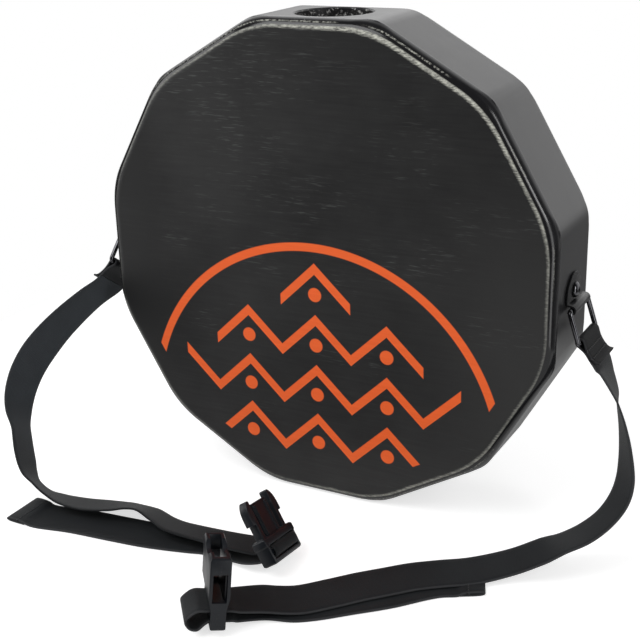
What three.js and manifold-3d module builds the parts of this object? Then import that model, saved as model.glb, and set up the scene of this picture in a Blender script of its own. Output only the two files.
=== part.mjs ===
// A portable cajon: a slim twelve-sided drum of mitred staves with a struck front panel,
// a back panel, a sound port on top, and a carrying strap that hangs from two side lugs.
// Millimetres. +X is to the player's right, the front faces -Y, +Z is up.
// The origin is on the floor, under the middle of the drum.

import * as THREE from 'three';
import { mergeVertices } from 'three/addons/utils/BufferGeometryUtils.js';
import Module from 'manifold-3d';

const wasm = await Module();
wasm.setup();

// Shell
const acrossFlats = 400;
const drumDepth = 88;
const staveCount = 12;
const staveWall = 12;
const panelThickness = 4;
const roundover = 10;
const cornerRadius = 34;
const rimCornerRadius = 88;
const cornerSteps = 4;
const portRadius = 31;
const portEase = 1.2;

// Clearances
const seatGap = 0.3;
const wireClearance = 0.4;
const overrun = 2;

// Strap lugs
const lugWidth = 37;
const lugSheet = 1.5;
const lugScrewHeight = 200;
const lugTopRadius = 18.5;
const lugScrewBelowTop = 14;
const lugBarDrop = 11;
const lugBarStandOff = 5;
const lugRoofDrop = 7.5;
const lugCurlEnd = -150;
const leftLugTurn = 35;

// Rings
const ringWire = 4;
const ringInnerWidth = 40;
const ringInnerHeight = 22;
const ringCorner = 3;
const ringSides = 12;
const rightRingTilt = 18;
const leftRingTilt = 7;

// Lug screws
const screwDiameter = 6;
const screwHole = 6.6;
const screwHeadDiameter = 12.5;
const screwHeadHeight = 3.5;
const screwSocketAcross = 4;
const screwSocketDepth = 2;
const washerDiameter = 18;
const washerThickness = 1.6;
const nutAcrossFlats = 10;
const nutThickness = 5;
const screwTail = 2;

// Webbing
const webWidth = 38;
const webThickness = 1.6;
const webStepsPerRow = 3;
const foldTilt = 36;
const foldLegLength = 16;
const foldFlapLength = 21;
const foldFlapLift = 2.4;
const foldFlapBend = 4;
const foldPinch = 0.2;
const strapStraightStart = 6;
const laceLead = 4;

// Snares
const snareRailWidth = 24;
const snareRailThickness = 12;
const snareRailBelowTop = 108;
const snareRailBehindPanel = 10;
const snareStrandCount = 8;
const snareStrandPitch = 6;
const snareStrandDiameter = 2;
const snareStrandLength = 96;
const snareClipWidth = 50;
const snareClipHeight = 16;
const snareClipThickness = 2.4;
const snareRest = 0.6;

// Buckle, both halves
const buckleWidth = 48;
const ladderWidth = 45;
const ladderEndBar = 3.5;
const ladderMiddleBar = 3.5;
const ladderSlot = 4;
const ladderSlotSideClearance = 0.5;
const moulding = 1.2;

// Buckle, socket half
const socketHeight = 55;
const socketThickness = 15;
const socketFootThickness = 11;
const socketShoulderHeight = 25;
const socketCavityWidth = 40;
const socketCavityDepth = 8.4;
const socketCavityFloor = 18;
const socketWindowLow = 21.5;
const socketWindowHeight = 21.5;
const socketWindowDepth = 10.4;
const socketWindowReach = 6;
const socketNotchWidth = 24;
const socketNotchDepth = 5;
const socketLoopReach = 17;
const socketLoopDrop = 6.5;

// Buckle, prong half
const prongHeight = 52;
const prongBaseHeight = 21;
const prongBaseThickness = 12;
const prongThickness = 7;
const prongArmWidth = 4.4;
const prongArmClearance = 0.6;
const prongHookReach = 3.8;
const prongHookLength = 5;
const prongHookClearance = 0.4;
const prongTipRound = 2;
const tongueWidth = 21;
const tongueThickness = 4;
const tongueShortfall = 4;
const tongueRibWidth = 2;

const halfFlats = acrossFlats / 2;
const halfDepth = drumDepth / 2;
const staveTurn = 2 * Math.PI / staveCount;
const halfStaveTurn = staveTurn / 2;
const rad = THREE.MathUtils.degToRad;

// Materials
const finish = (color, roughness, metalness) =>
  new THREE.MeshStandardMaterial({ color, roughness, metalness });
const lacquer = finish(0x17181a, 0.25, 0);
const stainedPly = finish(0x2b2b2c, 0.7, 0);
const barePine = finish(0xb08a5a, 0.7, 0);
const blackSteel = finish(0x1b1c1e, 0.35, 0.8);
const brightSteel = finish(0x9a9c9f, 0.35, 1);
const webbing = finish(0x1c1d1f, 0.85, 0);
const mouldedNylon = finish(0x16171a, 0.45, 0);

// A closed body from rings of points: ends capped, or the last ring joined to the first.
function loft(rings, closed = false) {
  const count = rings[0].length;
  const positions = [];
  const triangle = (a, b, c) => positions.push(...a.toArray(), ...b.toArray(), ...c.toArray());
  const spans = closed ? rings.length : rings.length - 1;
  for (let i = 0; i < spans; i++) {
    const here = rings[i];
    const next = rings[(i + 1) % rings.length];
    for (let j = 0; j < count; j++) {
      const k = (j + 1) % count;
      triangle(here[j], here[k], next[k]);
      triangle(here[j], next[k], next[j]);
    }
  }
  if (!closed) {
    const last = rings[rings.length - 1];
    for (let j = 1; j < count - 1; j++) {
      triangle(rings[0][0], rings[0][j + 1], rings[0][j]);
      triangle(last[0], last[j], last[j + 1]);
    }
  }
  const geometry = new THREE.BufferGeometry();
  geometry.setAttribute('position', new THREE.Float32BufferAttribute(positions, 3));
  return facingOut(geometry);
}

// Six times the signed volume is positive when the faces point out.
function facingOut(geometry) {
  const p = geometry.getAttribute('position');
  const a = new THREE.Vector3();
  const b = new THREE.Vector3();
  const c = new THREE.Vector3();
  let volume = 0;
  for (let i = 0; i < p.count; i += 3) {
    a.fromBufferAttribute(p, i);
    b.fromBufferAttribute(p, i + 1);
    c.fromBufferAttribute(p, i + 2);
    volume += a.dot(b.cross(c));
  }
  if (volume < 0) {
    for (let i = 0; i < p.count; i += 3) {
      b.fromBufferAttribute(p, i + 1);
      c.fromBufferAttribute(p, i + 2);
      p.setXYZ(i + 1, c.x, c.y, c.z);
      p.setXYZ(i + 2, b.x, b.y, b.z);
    }
  }
  return geometry;
}

function solid(geometry) {
  const bare = geometry.index ? geometry.toNonIndexed() : geometry.clone();
  bare.deleteAttribute('normal');
  bare.deleteAttribute('uv');
  const merged = mergeVertices(bare, 1e-4);
  return new wasm.Manifold(new wasm.Mesh({
    numProp: 3,
    vertProperties: new Float32Array(merged.getAttribute('position').array),
    triVerts: new Uint32Array(merged.index.array),
  }));
}

function surface(manifold) {
  const mesh = manifold.getMesh();
  const geometry = new THREE.BufferGeometry();
  geometry.setAttribute('position', new THREE.BufferAttribute(mesh.vertProperties, 3));
  geometry.setIndex(new THREE.BufferAttribute(mesh.triVerts, 1));
  return geometry;
}

function cut(body, ...tools) {
  return surface(tools.reduce((left, tool) => left.subtract(solid(tool)), solid(body)));
}

function join(...bodies) {
  return surface(bodies.map(solid).reduce((sum, body) => sum.add(body)));
}

function common(...bodies) {
  return surface(bodies.map(solid).reduce((sum, body) => sum.intersect(body)));
}

// An outline in x and z, extruded along y and centred on y = 0.
function plateXZ(shape, thickness, curveSegments = 8) {
  const geometry = new THREE.ExtrudeGeometry(shape, { depth: thickness, bevelEnabled: false, curveSegments });
  geometry.translate(0, 0, -thickness / 2);
  geometry.rotateX(Math.PI / 2);
  return geometry;
}

// An outline in y and z, extruded along x from x = 0 to its thickness.
function plateYZ(shape, thickness, curveSegments = 8) {
  const geometry = new THREE.ExtrudeGeometry(shape, { depth: thickness, bevelEnabled: false, curveSegments });
  geometry.rotateX(Math.PI / 2);
  geometry.rotateZ(Math.PI / 2);
  return geometry;
}

// An outline from the points of its right side, upwards, mirrored to the left.
function mirroredShape(points) {
  const right = points.map(([across, up]) => new THREE.Vector2(across, up));
  const left = points.map(([across, up]) => new THREE.Vector2(-across, up)).reverse();
  return new THREE.Shape([...right, ...left]);
}

// The outline of a bent sheet whose middle line follows the given points.
function sheetOutline(path, thickness) {
  const left = [];
  const right = [];
  path.forEach((point, i) => {
    const before = path[Math.max(i - 1, 0)];
    const after = path[Math.min(i + 1, path.length - 1)];
    const along = after.clone().sub(before).normalize();
    const side = new THREE.Vector2(-along.y, along.x).multiplyScalar(thickness / 2);
    left.push(point.clone().add(side));
    right.unshift(point.clone().sub(side));
  });
  return new THREE.Shape([...left, ...right]);
}

function arcPoints(centreX, centreY, radius, fromDegrees, toDegrees, steps) {
  return Array.from({ length: steps + 1 }, (_, i) => {
    const angle = rad(fromDegrees + (toDegrees - fromDegrees) * i / steps);
    return new THREE.Vector2(centreX + radius * Math.cos(angle), centreY + radius * Math.sin(angle));
  });
}

const part = new THREE.Group();

function add(parent, name, geometry, material) {
  const mesh = new THREE.Mesh(geometry, material);
  mesh.name = name;
  parent.add(mesh);
  return mesh;
}

// The drum is built round its own centre, standing on its bottom flat.
const drum = new THREE.Group();
drum.position.z = halfFlats;
part.add(drum);

// How far the routed edge has drawn the outline in, at a depth below the face.
function insetAt(depth) {
  if (depth >= roundover) return 0;
  return roundover - Math.sqrt(roundover ** 2 - (roundover - depth) ** 2);
}

// The corners between the flats are eased, and sanding has made them far rounder at the rims.
function cornerAt(depth) {
  const share = Math.sqrt(Math.max(0, 1 - depth / roundover));
  return cornerRadius + (rimCornerRadius - cornerRadius) * share;
}

// Half of a rounded corner between two flats, from the mitre to the flat.
function halfCorner(depth) {
  const radius = cornerAt(depth);
  const apothem = halfFlats - insetAt(depth);
  const points = [];
  for (let i = 0; i <= cornerSteps; i++) {
    const angle = halfStaveTurn * (1 - i / cornerSteps);
    const along = (apothem - radius) * Math.tan(halfStaveTurn) + radius * Math.sin(angle);
    const out = apothem - radius + radius * Math.cos(angle);
    points.push([along, out]);
  }
  return points;
}

const mitreGap = seatGap / 2 / Math.cos(halfStaveTurn);

// A stave's section at one depth below the nearer face, in its own flat's directions.
function staveSection(y) {
  const corner = halfCorner(halfDepth - Math.abs(y));
  corner[0][0] -= mitreGap;
  const inner = halfFlats - staveWall;
  const innerAlong = inner * Math.tan(halfStaveTurn) - mitreGap;
  const right = corner.map(([along, out]) => new THREE.Vector3(along, y, out));
  const left = corner.map(([along, out]) => new THREE.Vector3(-along, y, out)).reverse();
  return [
    new THREE.Vector3(-innerAlong, y, inner),
    new THREE.Vector3(innerAlong, y, inner),
    ...right,
    ...left,
  ];
}

// Shares of the way from the panel's seat to the end of the routed edge, where the stave is stepped.
const staveEdge_shares = [0, 0.4, 0.75, 1];

function staveGeometry() {
  const seat = halfDepth - panelThickness - seatGap;
  const plain = halfDepth - roundover;
  const back = staveEdge_shares.map((share) => plain + (seat - plain) * (1 - share)).reverse();
  const front = back.map((y) => -y).reverse();
  return loft([...front, ...back].map(staveSection));
}

// The round sound port, with its outer rim eased.
function portCutter() {
  const profile = [
    [0, halfFlats - staveWall - overrun],
    [portRadius, halfFlats - staveWall - overrun],
    [portRadius, halfFlats - portEase],
    [portRadius + portEase, halfFlats],
    [portRadius + portEase + overrun, halfFlats + overrun],
    [0, halfFlats + overrun],
  ].map(([radius, height]) => new THREE.Vector2(radius, height));
  const geometry = new THREE.LatheGeometry(profile, 48);
  geometry.rotateX(Math.PI / 2);
  return geometry;
}

function screwHoleCutter(alongFlat, depthwise) {
  const geometry = new THREE.CylinderGeometry(
    screwHole / 2, screwHole / 2, staveWall + 2 * overrun, 24);
  geometry.rotateX(Math.PI / 2);
  geometry.translate(alongFlat, depthwise, halfFlats - staveWall / 2);
  return geometry;
}

const quarter = staveCount / 4;
for (let i = 0; i < staveCount; i++) {
  let geometry = staveGeometry();
  if (i === 0) geometry = cut(geometry, portCutter());
  if (i === quarter || i === 3 * quarter) {
    geometry = cut(geometry, screwHoleCutter((i === quarter ? -1 : 1) * (lugScrewHeight - halfFlats), 0));
  }
  const number = String(i + 1).padStart(2, '0');
  const place = { 0: '_top', [quarter]: '_right', [2 * quarter]: '_bottom', [3 * quarter]: '_left' }[i] ?? '';
  const stave = add(drum, `stave_${number}${place}`, geometry, lacquer);
  stave.rotation.y = i * staveTurn;
}

// A whole outline of the drum at one depth below a face.
function drumOutline(y) {
  const points = [];
  for (let i = 0; i < staveCount; i++) {
    const turn = i * staveTurn;
    const corner = halfCorner(halfDepth - Math.abs(y));
    const left = corner.map(([along, out]) => [-along, out]);
    const right = [...corner].reverse().slice(0, -1);
    for (const [along, out] of [...left, ...right]) {
      points.push(new THREE.Vector3(
        along * Math.cos(turn) + out * Math.sin(turn), y, out * Math.cos(turn) - along * Math.sin(turn)));
    }
  }
  return points;
}

// Shares of the panel's thickness at which its routed edge is stepped.
const panelEdge_shares = [0, 0.07, 0.22, 0.5, 1];

function panelGeometry(side) {
  return loft(panelEdge_shares.map((share) => drumOutline(side * (halfDepth - share * panelThickness))));
}

add(drum, 'front_panel', panelGeometry(-1), stainedPly);
add(drum, 'back_panel', panelGeometry(1), stainedPly);

// Lugs: x points out of the drum's side, y along its depth, z up the plate.
function lugPlateGeometry() {
  const half = lugWidth / 2;
  const centreZ = lugScrewBelowTop - lugTopRadius;
  const fold = -lugRoofDrop;
  const outline = new THREE.Shape();
  outline.moveTo(half, fold);
  outline.lineTo(half, centreZ);
  outline.absarc(0, centreZ, lugTopRadius, 0, Math.PI, false);
  outline.lineTo(-half, fold);
  const face = plateYZ(outline, lugSheet, 16);
  face.translate(seatGap, 0, 0);
  const hole = new THREE.CylinderGeometry(screwHole / 2, screwHole / 2, lugSheet + 2 * overrun, 24);
  hole.rotateZ(Math.PI / 2);

  const middleX = seatGap + lugSheet / 2;
  const curl = ringWire / 2 + wireClearance + lugSheet / 2;
  const reach = new THREE.Vector2(middleX - lugBarStandOff, lugBarDrop - lugRoofDrop);
  const meet = THREE.MathUtils.radToDeg(
    Math.atan2(reach.y, reach.x) - Math.acos(curl / reach.length()));
  const path = [
    new THREE.Vector2(middleX, -lugRoofDrop + lugSheet),
    new THREE.Vector2(middleX, -lugRoofDrop),
    ...arcPoints(lugBarStandOff, -lugBarDrop, curl, meet, lugCurlEnd, 12),
  ];
  const hook = plateXZ(sheetOutline(path, lugSheet), lugWidth);
  return cut(join(face, hook), hole);
}

// A rectangular ring of round wire, its upper bar on the origin and its legs down.
const ringSpan = ringInnerWidth + ringWire;
const ringDrop = ringInnerHeight + ringWire;

function ringGeometry() {
  const half = ringSpan / 2;
  const centres = [
    [half - ringCorner, -ringCorner, 0],
    [-half + ringCorner, -ringCorner, 90],
    [-half + ringCorner, -ringDrop + ringCorner, 180],
    [half - ringCorner, -ringDrop + ringCorner, 270],
  ];
  const rings = [];
  for (const [y, z, start] of centres) {
    for (const point of arcPoints(y, z, ringCorner, start, start + 90, 4)) {
      const out = point.clone().sub(new THREE.Vector2(y, z)).normalize();
      const section = [];
      for (let i = 0; i < ringSides; i++) {
        const angle = 2 * Math.PI * i / ringSides;
        const outward = ringWire / 2 * Math.cos(angle);
        section.push(new THREE.Vector3(
          ringWire / 2 * Math.sin(angle), point.x + out.x * outward, point.y + out.y * outward));
      }
      rings.push(section);
    }
  }
  return loft(rings, true);
}

// The webbing's stitched end: round the ring's lower bar, both layers pinched together below it.
function foldGeometry() {
  const wrap = ringWire / 2 + wireClearance + webThickness / 2;
  const leg = webThickness / 2 + foldPinch;
  const path = [
    new THREE.Vector2(-leg, -foldLegLength),
    new THREE.Vector2(-leg, -foldLegLength / 2),
    ...arcPoints(0, 0, wrap, 200, -20, 12),
    new THREE.Vector2(leg, -foldLegLength / 2),
    new THREE.Vector2(leg, -foldLegLength),
    new THREE.Vector2(leg + foldFlapLift / 3, -foldFlapLength + foldFlapBend / 2),
    new THREE.Vector2(leg + foldFlapLift, -foldFlapLength),
  ];
  return plateXZ(sheetOutline(path, webThickness), webWidth);
}

function screwGeometry(grip) {
  const head = screwHeadDiameter / 2;
  const shank = screwDiameter / 2;
  const dome = Array.from({ length: 6 }, (_, i) => {
    const angle = Math.PI / 2 * (i / 6);
    return new THREE.Vector2(head * Math.cos(angle), screwHeadHeight * Math.sin(angle));
  });
  const profile = [
    new THREE.Vector2(0, -grip),
    new THREE.Vector2(shank, -grip),
    new THREE.Vector2(shank, 0),
    new THREE.Vector2(head, 0),
    ...dome.slice(1),
    new THREE.Vector2(0, screwHeadHeight),
  ];
  const body = new THREE.LatheGeometry(profile, 24);
  body.rotateZ(-Math.PI / 2);
  const socket = new THREE.CylinderGeometry(
    screwSocketAcross / Math.sqrt(3), screwSocketAcross / Math.sqrt(3), screwSocketDepth + overrun, 6);
  socket.rotateZ(Math.PI / 2);
  socket.translate(screwHeadHeight - screwSocketDepth + (screwSocketDepth + overrun) / 2, 0, 0);
  return cut(body, socket);
}

function annulusGeometry(outerRadius, thickness, sides) {
  const outer = new THREE.CylinderGeometry(outerRadius, outerRadius, thickness, sides);
  const bore = new THREE.CylinderGeometry(screwHole / 2, screwHole / 2, thickness + 2 * overrun, 24);
  outer.rotateZ(Math.PI / 2);
  bore.rotateZ(Math.PI / 2);
  return cut(outer, bore);
}

function addLug(side, turn, ringTilt) {
  const name = side > 0 ? 'right' : 'left';
  const turned = new THREE.Group();
  turned.position.set(side * halfFlats, 0, lugScrewHeight);
  turned.rotation.x = -rad(turn);
  const lug = new THREE.Group();
  lug.rotation.z = side > 0 ? 0 : Math.PI;
  turned.add(lug);
  part.add(turned);

  add(lug, `lug_${name}`, lugPlateGeometry(), blackSteel);

  const headSeat = seatGap + lugSheet + seatGap;
  const washerSeat = staveWall + seatGap + washerThickness;
  const nutSeat = washerSeat + seatGap + nutThickness;
  add(lug, `lug_screw_${name}`, screwGeometry(headSeat + nutSeat + screwTail), blackSteel)
    .position.x = headSeat;
  add(lug, `lug_washer_${name}`, annulusGeometry(washerDiameter / 2, washerThickness, 24), brightSteel)
    .position.x = -washerSeat + washerThickness / 2;
  add(lug, `lug_nut_${name}`, annulusGeometry(nutAcrossFlats / Math.sqrt(3), nutThickness, 6), brightSteel)
    .position.x = -nutSeat + nutThickness / 2;

  const hinge = new THREE.Group();
  hinge.position.set(lugBarStandOff, 0, -lugBarDrop);
  lug.add(hinge);
  add(hinge, `ring_${name}`, ringGeometry(), blackSteel).rotation.y = -rad(ringTilt);
  const fold = add(hinge, `strap_fold_${name}`, foldGeometry(), webbing);
  fold.position.set(ringDrop * Math.sin(rad(ringTilt)), 0, -ringDrop * Math.cos(rad(ringTilt)));
  fold.rotation.y = -rad(foldTilt);
}

addLug(1, 0, rightRingTilt);
addLug(-1, leftLugTurn, leftRingTilt);

// Snares: a rail glued between two upper staves carries a comb of strands behind the front panel.
const panelBack = panelThickness - halfDepth;
const snareRailFront = panelBack + snareRailBehindPanel;

// The rail's outline ends on the two staves that stand 60 degrees from the top.
function snareRailGeometry() {
  const lean = 2 * staveTurn;
  const inner = halfFlats - staveWall - seatGap;
  const low = halfFlats - snareRailBelowTop - snareRailWidth / 2;
  const high = low + snareRailWidth;
  const reach = (height) => (inner - height * Math.cos(lean)) / Math.sin(lean);
  const rail = plateXZ(mirroredShape([[reach(low), low], [reach(high), high]]), snareRailThickness);
  rail.translate(0, snareRailFront + snareRailThickness / 2, 0);
  return rail;
}

// One pressed clip with its strands, which slope down to just behind the panel.
function snareCombGeometry() {
  const clipMiddle = snareRailFront - seatGap - snareClipThickness / 2;
  const clip = new THREE.BoxGeometry(snareClipWidth, snareClipThickness, snareClipHeight);
  const top = halfFlats - snareRailBelowTop;
  clip.translate(0, clipMiddle, top);
  const foot = new THREE.Vector3(0, panelBack + snareRest + snareStrandDiameter / 2, top - snareStrandLength);
  const head = new THREE.Vector3(0, clipMiddle, top);
  const strands = Array.from({ length: snareStrandCount }, (_, i) => {
    const x = (i - (snareStrandCount - 1) / 2) * snareStrandPitch;
    return rodBetween(head.clone().setX(x), foot.clone().setX(x), snareStrandDiameter / 2);
  });
  return join(clip, ...strands);
}

function rodBetween(from, to, radius) {
  const along = to.clone().sub(from);
  const rod = new THREE.CylinderGeometry(radius, radius, along.length(), 8);
  const turn = new THREE.Quaternion().setFromUnitVectors(new THREE.Vector3(0, 1, 0), along.normalize());
  rod.applyQuaternion(turn);
  const middle = from.clone().add(to).multiplyScalar(1 / 2);
  rod.translate(middle.x, middle.y, middle.z);
  return rod;
}

add(drum, 'snare_rail', snareRailGeometry(), barePine);
add(drum, 'snare_comb', snareCombGeometry(), brightSteel);

// Buckle halves: x lies across the webbing, z runs from the ladder to the mouth or the prongs.
const lowerSlotMiddle = ladderEndBar + ladderSlot / 2;
const upperSlotMiddle = lowerSlotMiddle + ladderSlot + ladderMiddleBar;
const ladderTop = upperSlotMiddle + ladderSlot / 2;

function ladderSlotCutter(height) {
  const width = webWidth + 2 * ladderSlotSideClearance;
  const box = new THREE.BoxGeometry(width, socketThickness + 2 * overrun, ladderSlot);
  box.translate(0, 0, height);
  return box;
}

function socketGeometry() {
  const front = mirroredShape([
    [ladderWidth / 2 - moulding, 0],
    [ladderWidth / 2, moulding],
    [ladderWidth / 2, ladderTop],
    [buckleWidth / 2, socketShoulderHeight],
    [buckleWidth / 2, socketHeight - moulding],
    [buckleWidth / 2 - moulding, socketHeight],
  ]);
  const side = mirroredShape([
    [socketFootThickness / 2 - moulding, 0],
    [socketFootThickness / 2, moulding],
    [socketFootThickness / 2, ladderTop],
    [socketThickness / 2, socketShoulderHeight],
    [socketThickness / 2, socketHeight - 2 * moulding],
    [socketThickness / 2 - moulding, socketHeight],
  ]);
  const sideways = plateYZ(side, buckleWidth);
  sideways.translate(-buckleWidth / 2, 0, 0);
  const body = common(plateXZ(front, socketThickness), sideways);

  const cavityHeight = socketHeight - socketCavityFloor + overrun;
  const cavity = new THREE.BoxGeometry(socketCavityWidth, socketCavityDepth, cavityHeight);
  cavity.translate(0, 0, socketCavityFloor + cavityHeight / 2);
  const windows = [-1, 1].map((hand) => {
    const box = new THREE.BoxGeometry(socketWindowReach + overrun, socketWindowDepth, socketWindowHeight);
    const middle = buckleWidth / 2 + (overrun - socketWindowReach) / 2;
    box.translate(hand * middle, 0, socketWindowLow + socketWindowHeight / 2);
    return box;
  });
  const notchRadius = (socketNotchWidth ** 2 / 4 + socketNotchDepth ** 2) / (2 * socketNotchDepth);
  const notch = new THREE.CylinderGeometry(notchRadius, notchRadius, socketThickness + 2 * overrun, 96);
  notch.translate(0, 0, socketHeight - socketNotchDepth + notchRadius);
  const slots = [ladderSlotCutter(lowerSlotMiddle), ladderSlotCutter(upperSlotMiddle)];
  return cut(body, cavity, notch, ...windows, ...slots);
}

// A sprung arm with its hook, on the right; the hook's shoulder sits just inside the socket's window.
function prongArmShape() {
  const outer = socketCavityWidth / 2 - prongArmClearance;
  const inner = outer - prongArmWidth;
  const windowTop = socketWindowLow + socketWindowHeight;
  const hookLow = prongBaseHeight + socketHeight - windowTop + prongHookClearance;
  const ear = outer + prongHookReach;
  const shape = new THREE.Shape();
  shape.moveTo(inner, prongBaseHeight - overrun);
  shape.lineTo(outer, prongBaseHeight - overrun);
  shape.lineTo(outer, hookLow);
  shape.lineTo(ear, hookLow);
  shape.lineTo(ear, hookLow + prongHookLength);
  shape.quadraticCurveTo(ear, prongHeight - 2 * prongTipRound, outer - prongTipRound, prongHeight);
  shape.lineTo(inner + prongTipRound, prongHeight);
  shape.quadraticCurveTo(inner, prongHeight, inner, prongHeight - prongTipRound);
  return shape;
}

function prongGeometry() {
  const front = mirroredShape([
    [ladderWidth / 2 - moulding, 0],
    [ladderWidth / 2, moulding],
    [ladderWidth / 2, ladderTop - moulding],
    [buckleWidth / 2, ladderTop],
    [buckleWidth / 2, prongBaseHeight - moulding],
    [buckleWidth / 2 - moulding, prongBaseHeight],
  ]);
  const side = mirroredShape([
    [prongBaseThickness / 2 - moulding, 0],
    [prongBaseThickness / 2, moulding],
    [prongBaseThickness / 2, prongBaseHeight - moulding],
    [prongBaseThickness / 2 - moulding, prongBaseHeight],
  ]);
  const sideways = plateYZ(side, buckleWidth);
  sideways.translate(-buckleWidth / 2, 0, 0);
  const base = common(plateXZ(front, prongBaseThickness), sideways);

  const arm = plateXZ(prongArmShape(), prongThickness);
  const otherArm = arm.clone();
  otherArm.rotateZ(Math.PI);

  const tongueLength = prongHeight - tongueShortfall - prongBaseHeight + overrun;
  const tongueMiddle = prongBaseHeight - overrun + tongueLength / 2;
  const tongue = new THREE.BoxGeometry(tongueWidth, tongueThickness, tongueLength);
  tongue.translate(0, 0, tongueMiddle);
  const ribs = [-1, 1].map((hand) => {
    const rib = new THREE.BoxGeometry(tongueRibWidth, prongThickness, tongueLength - tongueRibWidth);
    rib.translate(hand * (tongueWidth / 2 - tongueRibWidth), 0, tongueMiddle - tongueRibWidth / 2);
    return rib;
  });
  const whole = join(base, arm, otherArm, tongue, ...ribs);
  return cut(whole, ladderSlotCutter(lowerSlotMiddle), ladderSlotCutter(upperSlotMiddle));
}

// Where each half lies: the middle of its foot, and its own directions in the room.
const socketPlace = { foot: [21.6, -245.4, 3.8], across: [129, 6], upShare: [0.02, 0.16, 0.99] };
const prongPlace = { foot: [29.8, -159, 7.8], across: [94, 10.5], upShare: [-0.555, 0.115, 0.824] };

// The level heading of the far edge in degrees, and how far it dips.
function acrossDirection([heading, dip]) {
  const level = Math.cos(rad(dip));
  return new THREE.Vector3(level * Math.cos(rad(heading)), level * Math.sin(rad(heading)), -Math.sin(rad(dip)));
}

function buckleGroup({ foot, across, upShare }) {
  const up = new THREE.Vector3(...upShare).normalize();
  const through = up.clone().cross(acrossDirection(across)).normalize();
  const group = new THREE.Group();
  group.quaternion.setFromRotationMatrix(new THREE.Matrix4().makeBasis(through.clone().cross(up), through, up));
  group.position.set(...foot);
  part.add(group);
  return group;
}

const socketGroup = buckleGroup(socketPlace);
const prongGroup = buckleGroup(prongPlace);
add(socketGroup, 'buckle_socket', socketGeometry(), mouldedNylon);
add(prongGroup, 'buckle_prongs', prongGeometry(), mouldedNylon);

// Straps: flat ribbons through rows of a centre point, the far edge's heading and its dip.
function row([x, y, z, heading, dip]) {
  return { point: new THREE.Vector3(x, y, z), across: acrossDirection([heading, dip]) };
}

function ribbonGeometry(rows) {
  const middle = new THREE.CatmullRomCurve3(rows.map(({ point }) => point));
  const across = new THREE.CatmullRomCurve3(rows.map((each) => each.across));
  const steps = webStepsPerRow * (rows.length - 1);
  const rings = [];
  for (let i = 0; i <= steps; i++) {
    const centre = middle.getPoint(i / steps);
    const far = across.getPoint(i / steps).normalize();
    const upper = middle.getTangent(i / steps).cross(far).setLength(webThickness / 2);
    far.multiplyScalar(webWidth / 2);
    rings.push([[-1, -1], [1, -1], [1, 1], [-1, 1]].map(([side, face]) =>
      centre.clone().addScaledVector(far, side).addScaledVector(upper, face)));
  }
  return loft(rings);
}

// Rows in a group's own directions: the webbing keeps square to the group.
function rowsIn(group, placesInSection, farSign) {
  group.updateWorldMatrix(true, false);
  return placesInSection.map(([x, y, z]) => ({
    point: group.localToWorld(new THREE.Vector3(x, y, z)),
    across: farSign.clone().transformDirection(group.matrixWorld),
  }));
}

// The webbing leaves the fold's inner leg and first runs on in line with it.
function startRows(side) {
  const leg = webThickness / 2 + foldPinch;
  const start = foldLegLength + seatGap;
  const fold = part.getObjectByName(side > 0 ? 'strap_fold_right' : 'strap_fold_left');
  return rowsIn(fold, [[-leg, 0, -start], [-leg, 0, -start - strapStraightStart]], new THREE.Vector3(0, side, 0));
}

const rightRoute = [
  [232, -7, 139, 90, 16],
  [239, -10, 127, 95, 22],
  [243, -14, 119, 104, 24],
  [249, -19, 103, 111, 28],
  [255, -29, 86, 119, 29],
  [258, -37, 67, 126, 21],
  [256, -45, 54, 128, 18],
  [249, -55, 42, 124, 13],
  [237, -64, 31, 118, 8],
  [224, -72, 24, 116, 8],
  [210, -81, 18, 115, 1],
  [190, -89, 8, 116, 1],
  [165, -108, 3.8, 117, 0],
  [144, -122, 3.4, 117, 0],
  [127, -135, 3.4, 121, 0],
  [113, -149, 3.4, 125, 0],
  [98, -164, 3.4, 128, 0],
  [83, -181, 3.4, 130, 0],
  [66, -199, 3.6, 129, 0],
  [55.5, -207, 5, 128, 0],
  [46, -216, 8.5, 126, 1],
  [33.5, -232, 13.5, 127, 4],
];

const leftRoute = [
  [-228, -48, 147, 96, 41],
  [-240, -75, 130, 90, 46],
  [-243, -100, 117, 82, 46],
  [-245, -113, 107, 80, 40],
  [-245, -125, 96, 82, 33],
  [-245, -133, 83, 87, 24],
  [-242, -140, 71, 95, 25],
  [-235, -147, 58, 107, 25],
  [-229, -153, 44, 106, 25],
  [-223, -158, 35, 107, 25],
  [-218, -161, 27, 113, 24],
  [-210, -162, 18.5, 124, 24],
  [-200, -161, 11.5, 124, 23],
  [-189, -159, 7.6, 121, 18],
  [-167, -157, 6.6, 122, 14],
  [-142, -153, 9, 125, 16],
  [-128, -148, 9.8, 124, 21],
  [-119, -146, 9.8, 123, 22],
  [-100, -147, 7.6, 112, 17],
  [-80, -155, 8, 109, 16],
  [-67, -156, 7.4, 113, 15],
  [-50, -156, 7.4, 117, 13],
  [-24, -158, 9.4, 105, 13],
  [-10, -158.4, 10.4, 98, 12],
  [4, -158.7, 11.6, 95, 11],
];

const rightTailRoute = [
  [32, -232, 6.2, 126, 2],
  [45.5, -216, 3, 123, 0],
  [64, -207, 1.2, 123, 0],
  [76, -199, 1.2, 128, 0],
  [96, -181, 1.2, 131, 0],
  [117, -162, 1.2, 132, 0],
  [142, -135, 1.2, 132, 0],
  [156, -126, 1.2, 125, 0],
  [176.5, -113.5, 1.2, 112, 0],
];

const leftTailRoute = [
  [6, -161, 4.4, 94, 8],
  [-10, -157, 2.3, 94, 3],
  [-38, -155, 1.4, 98, 0],
  [-50, -158, 1.2, 98, 0],
  [-85, -166, 1.2, 97, 0],
  [-118, -170, 1.2, 96, 0],
  [-157, -174, 1.2, 99, 0],
  [-191, -180, 1.2, 97, 0],
  [-214, -179, 1.2, 90, 0],
];

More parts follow.
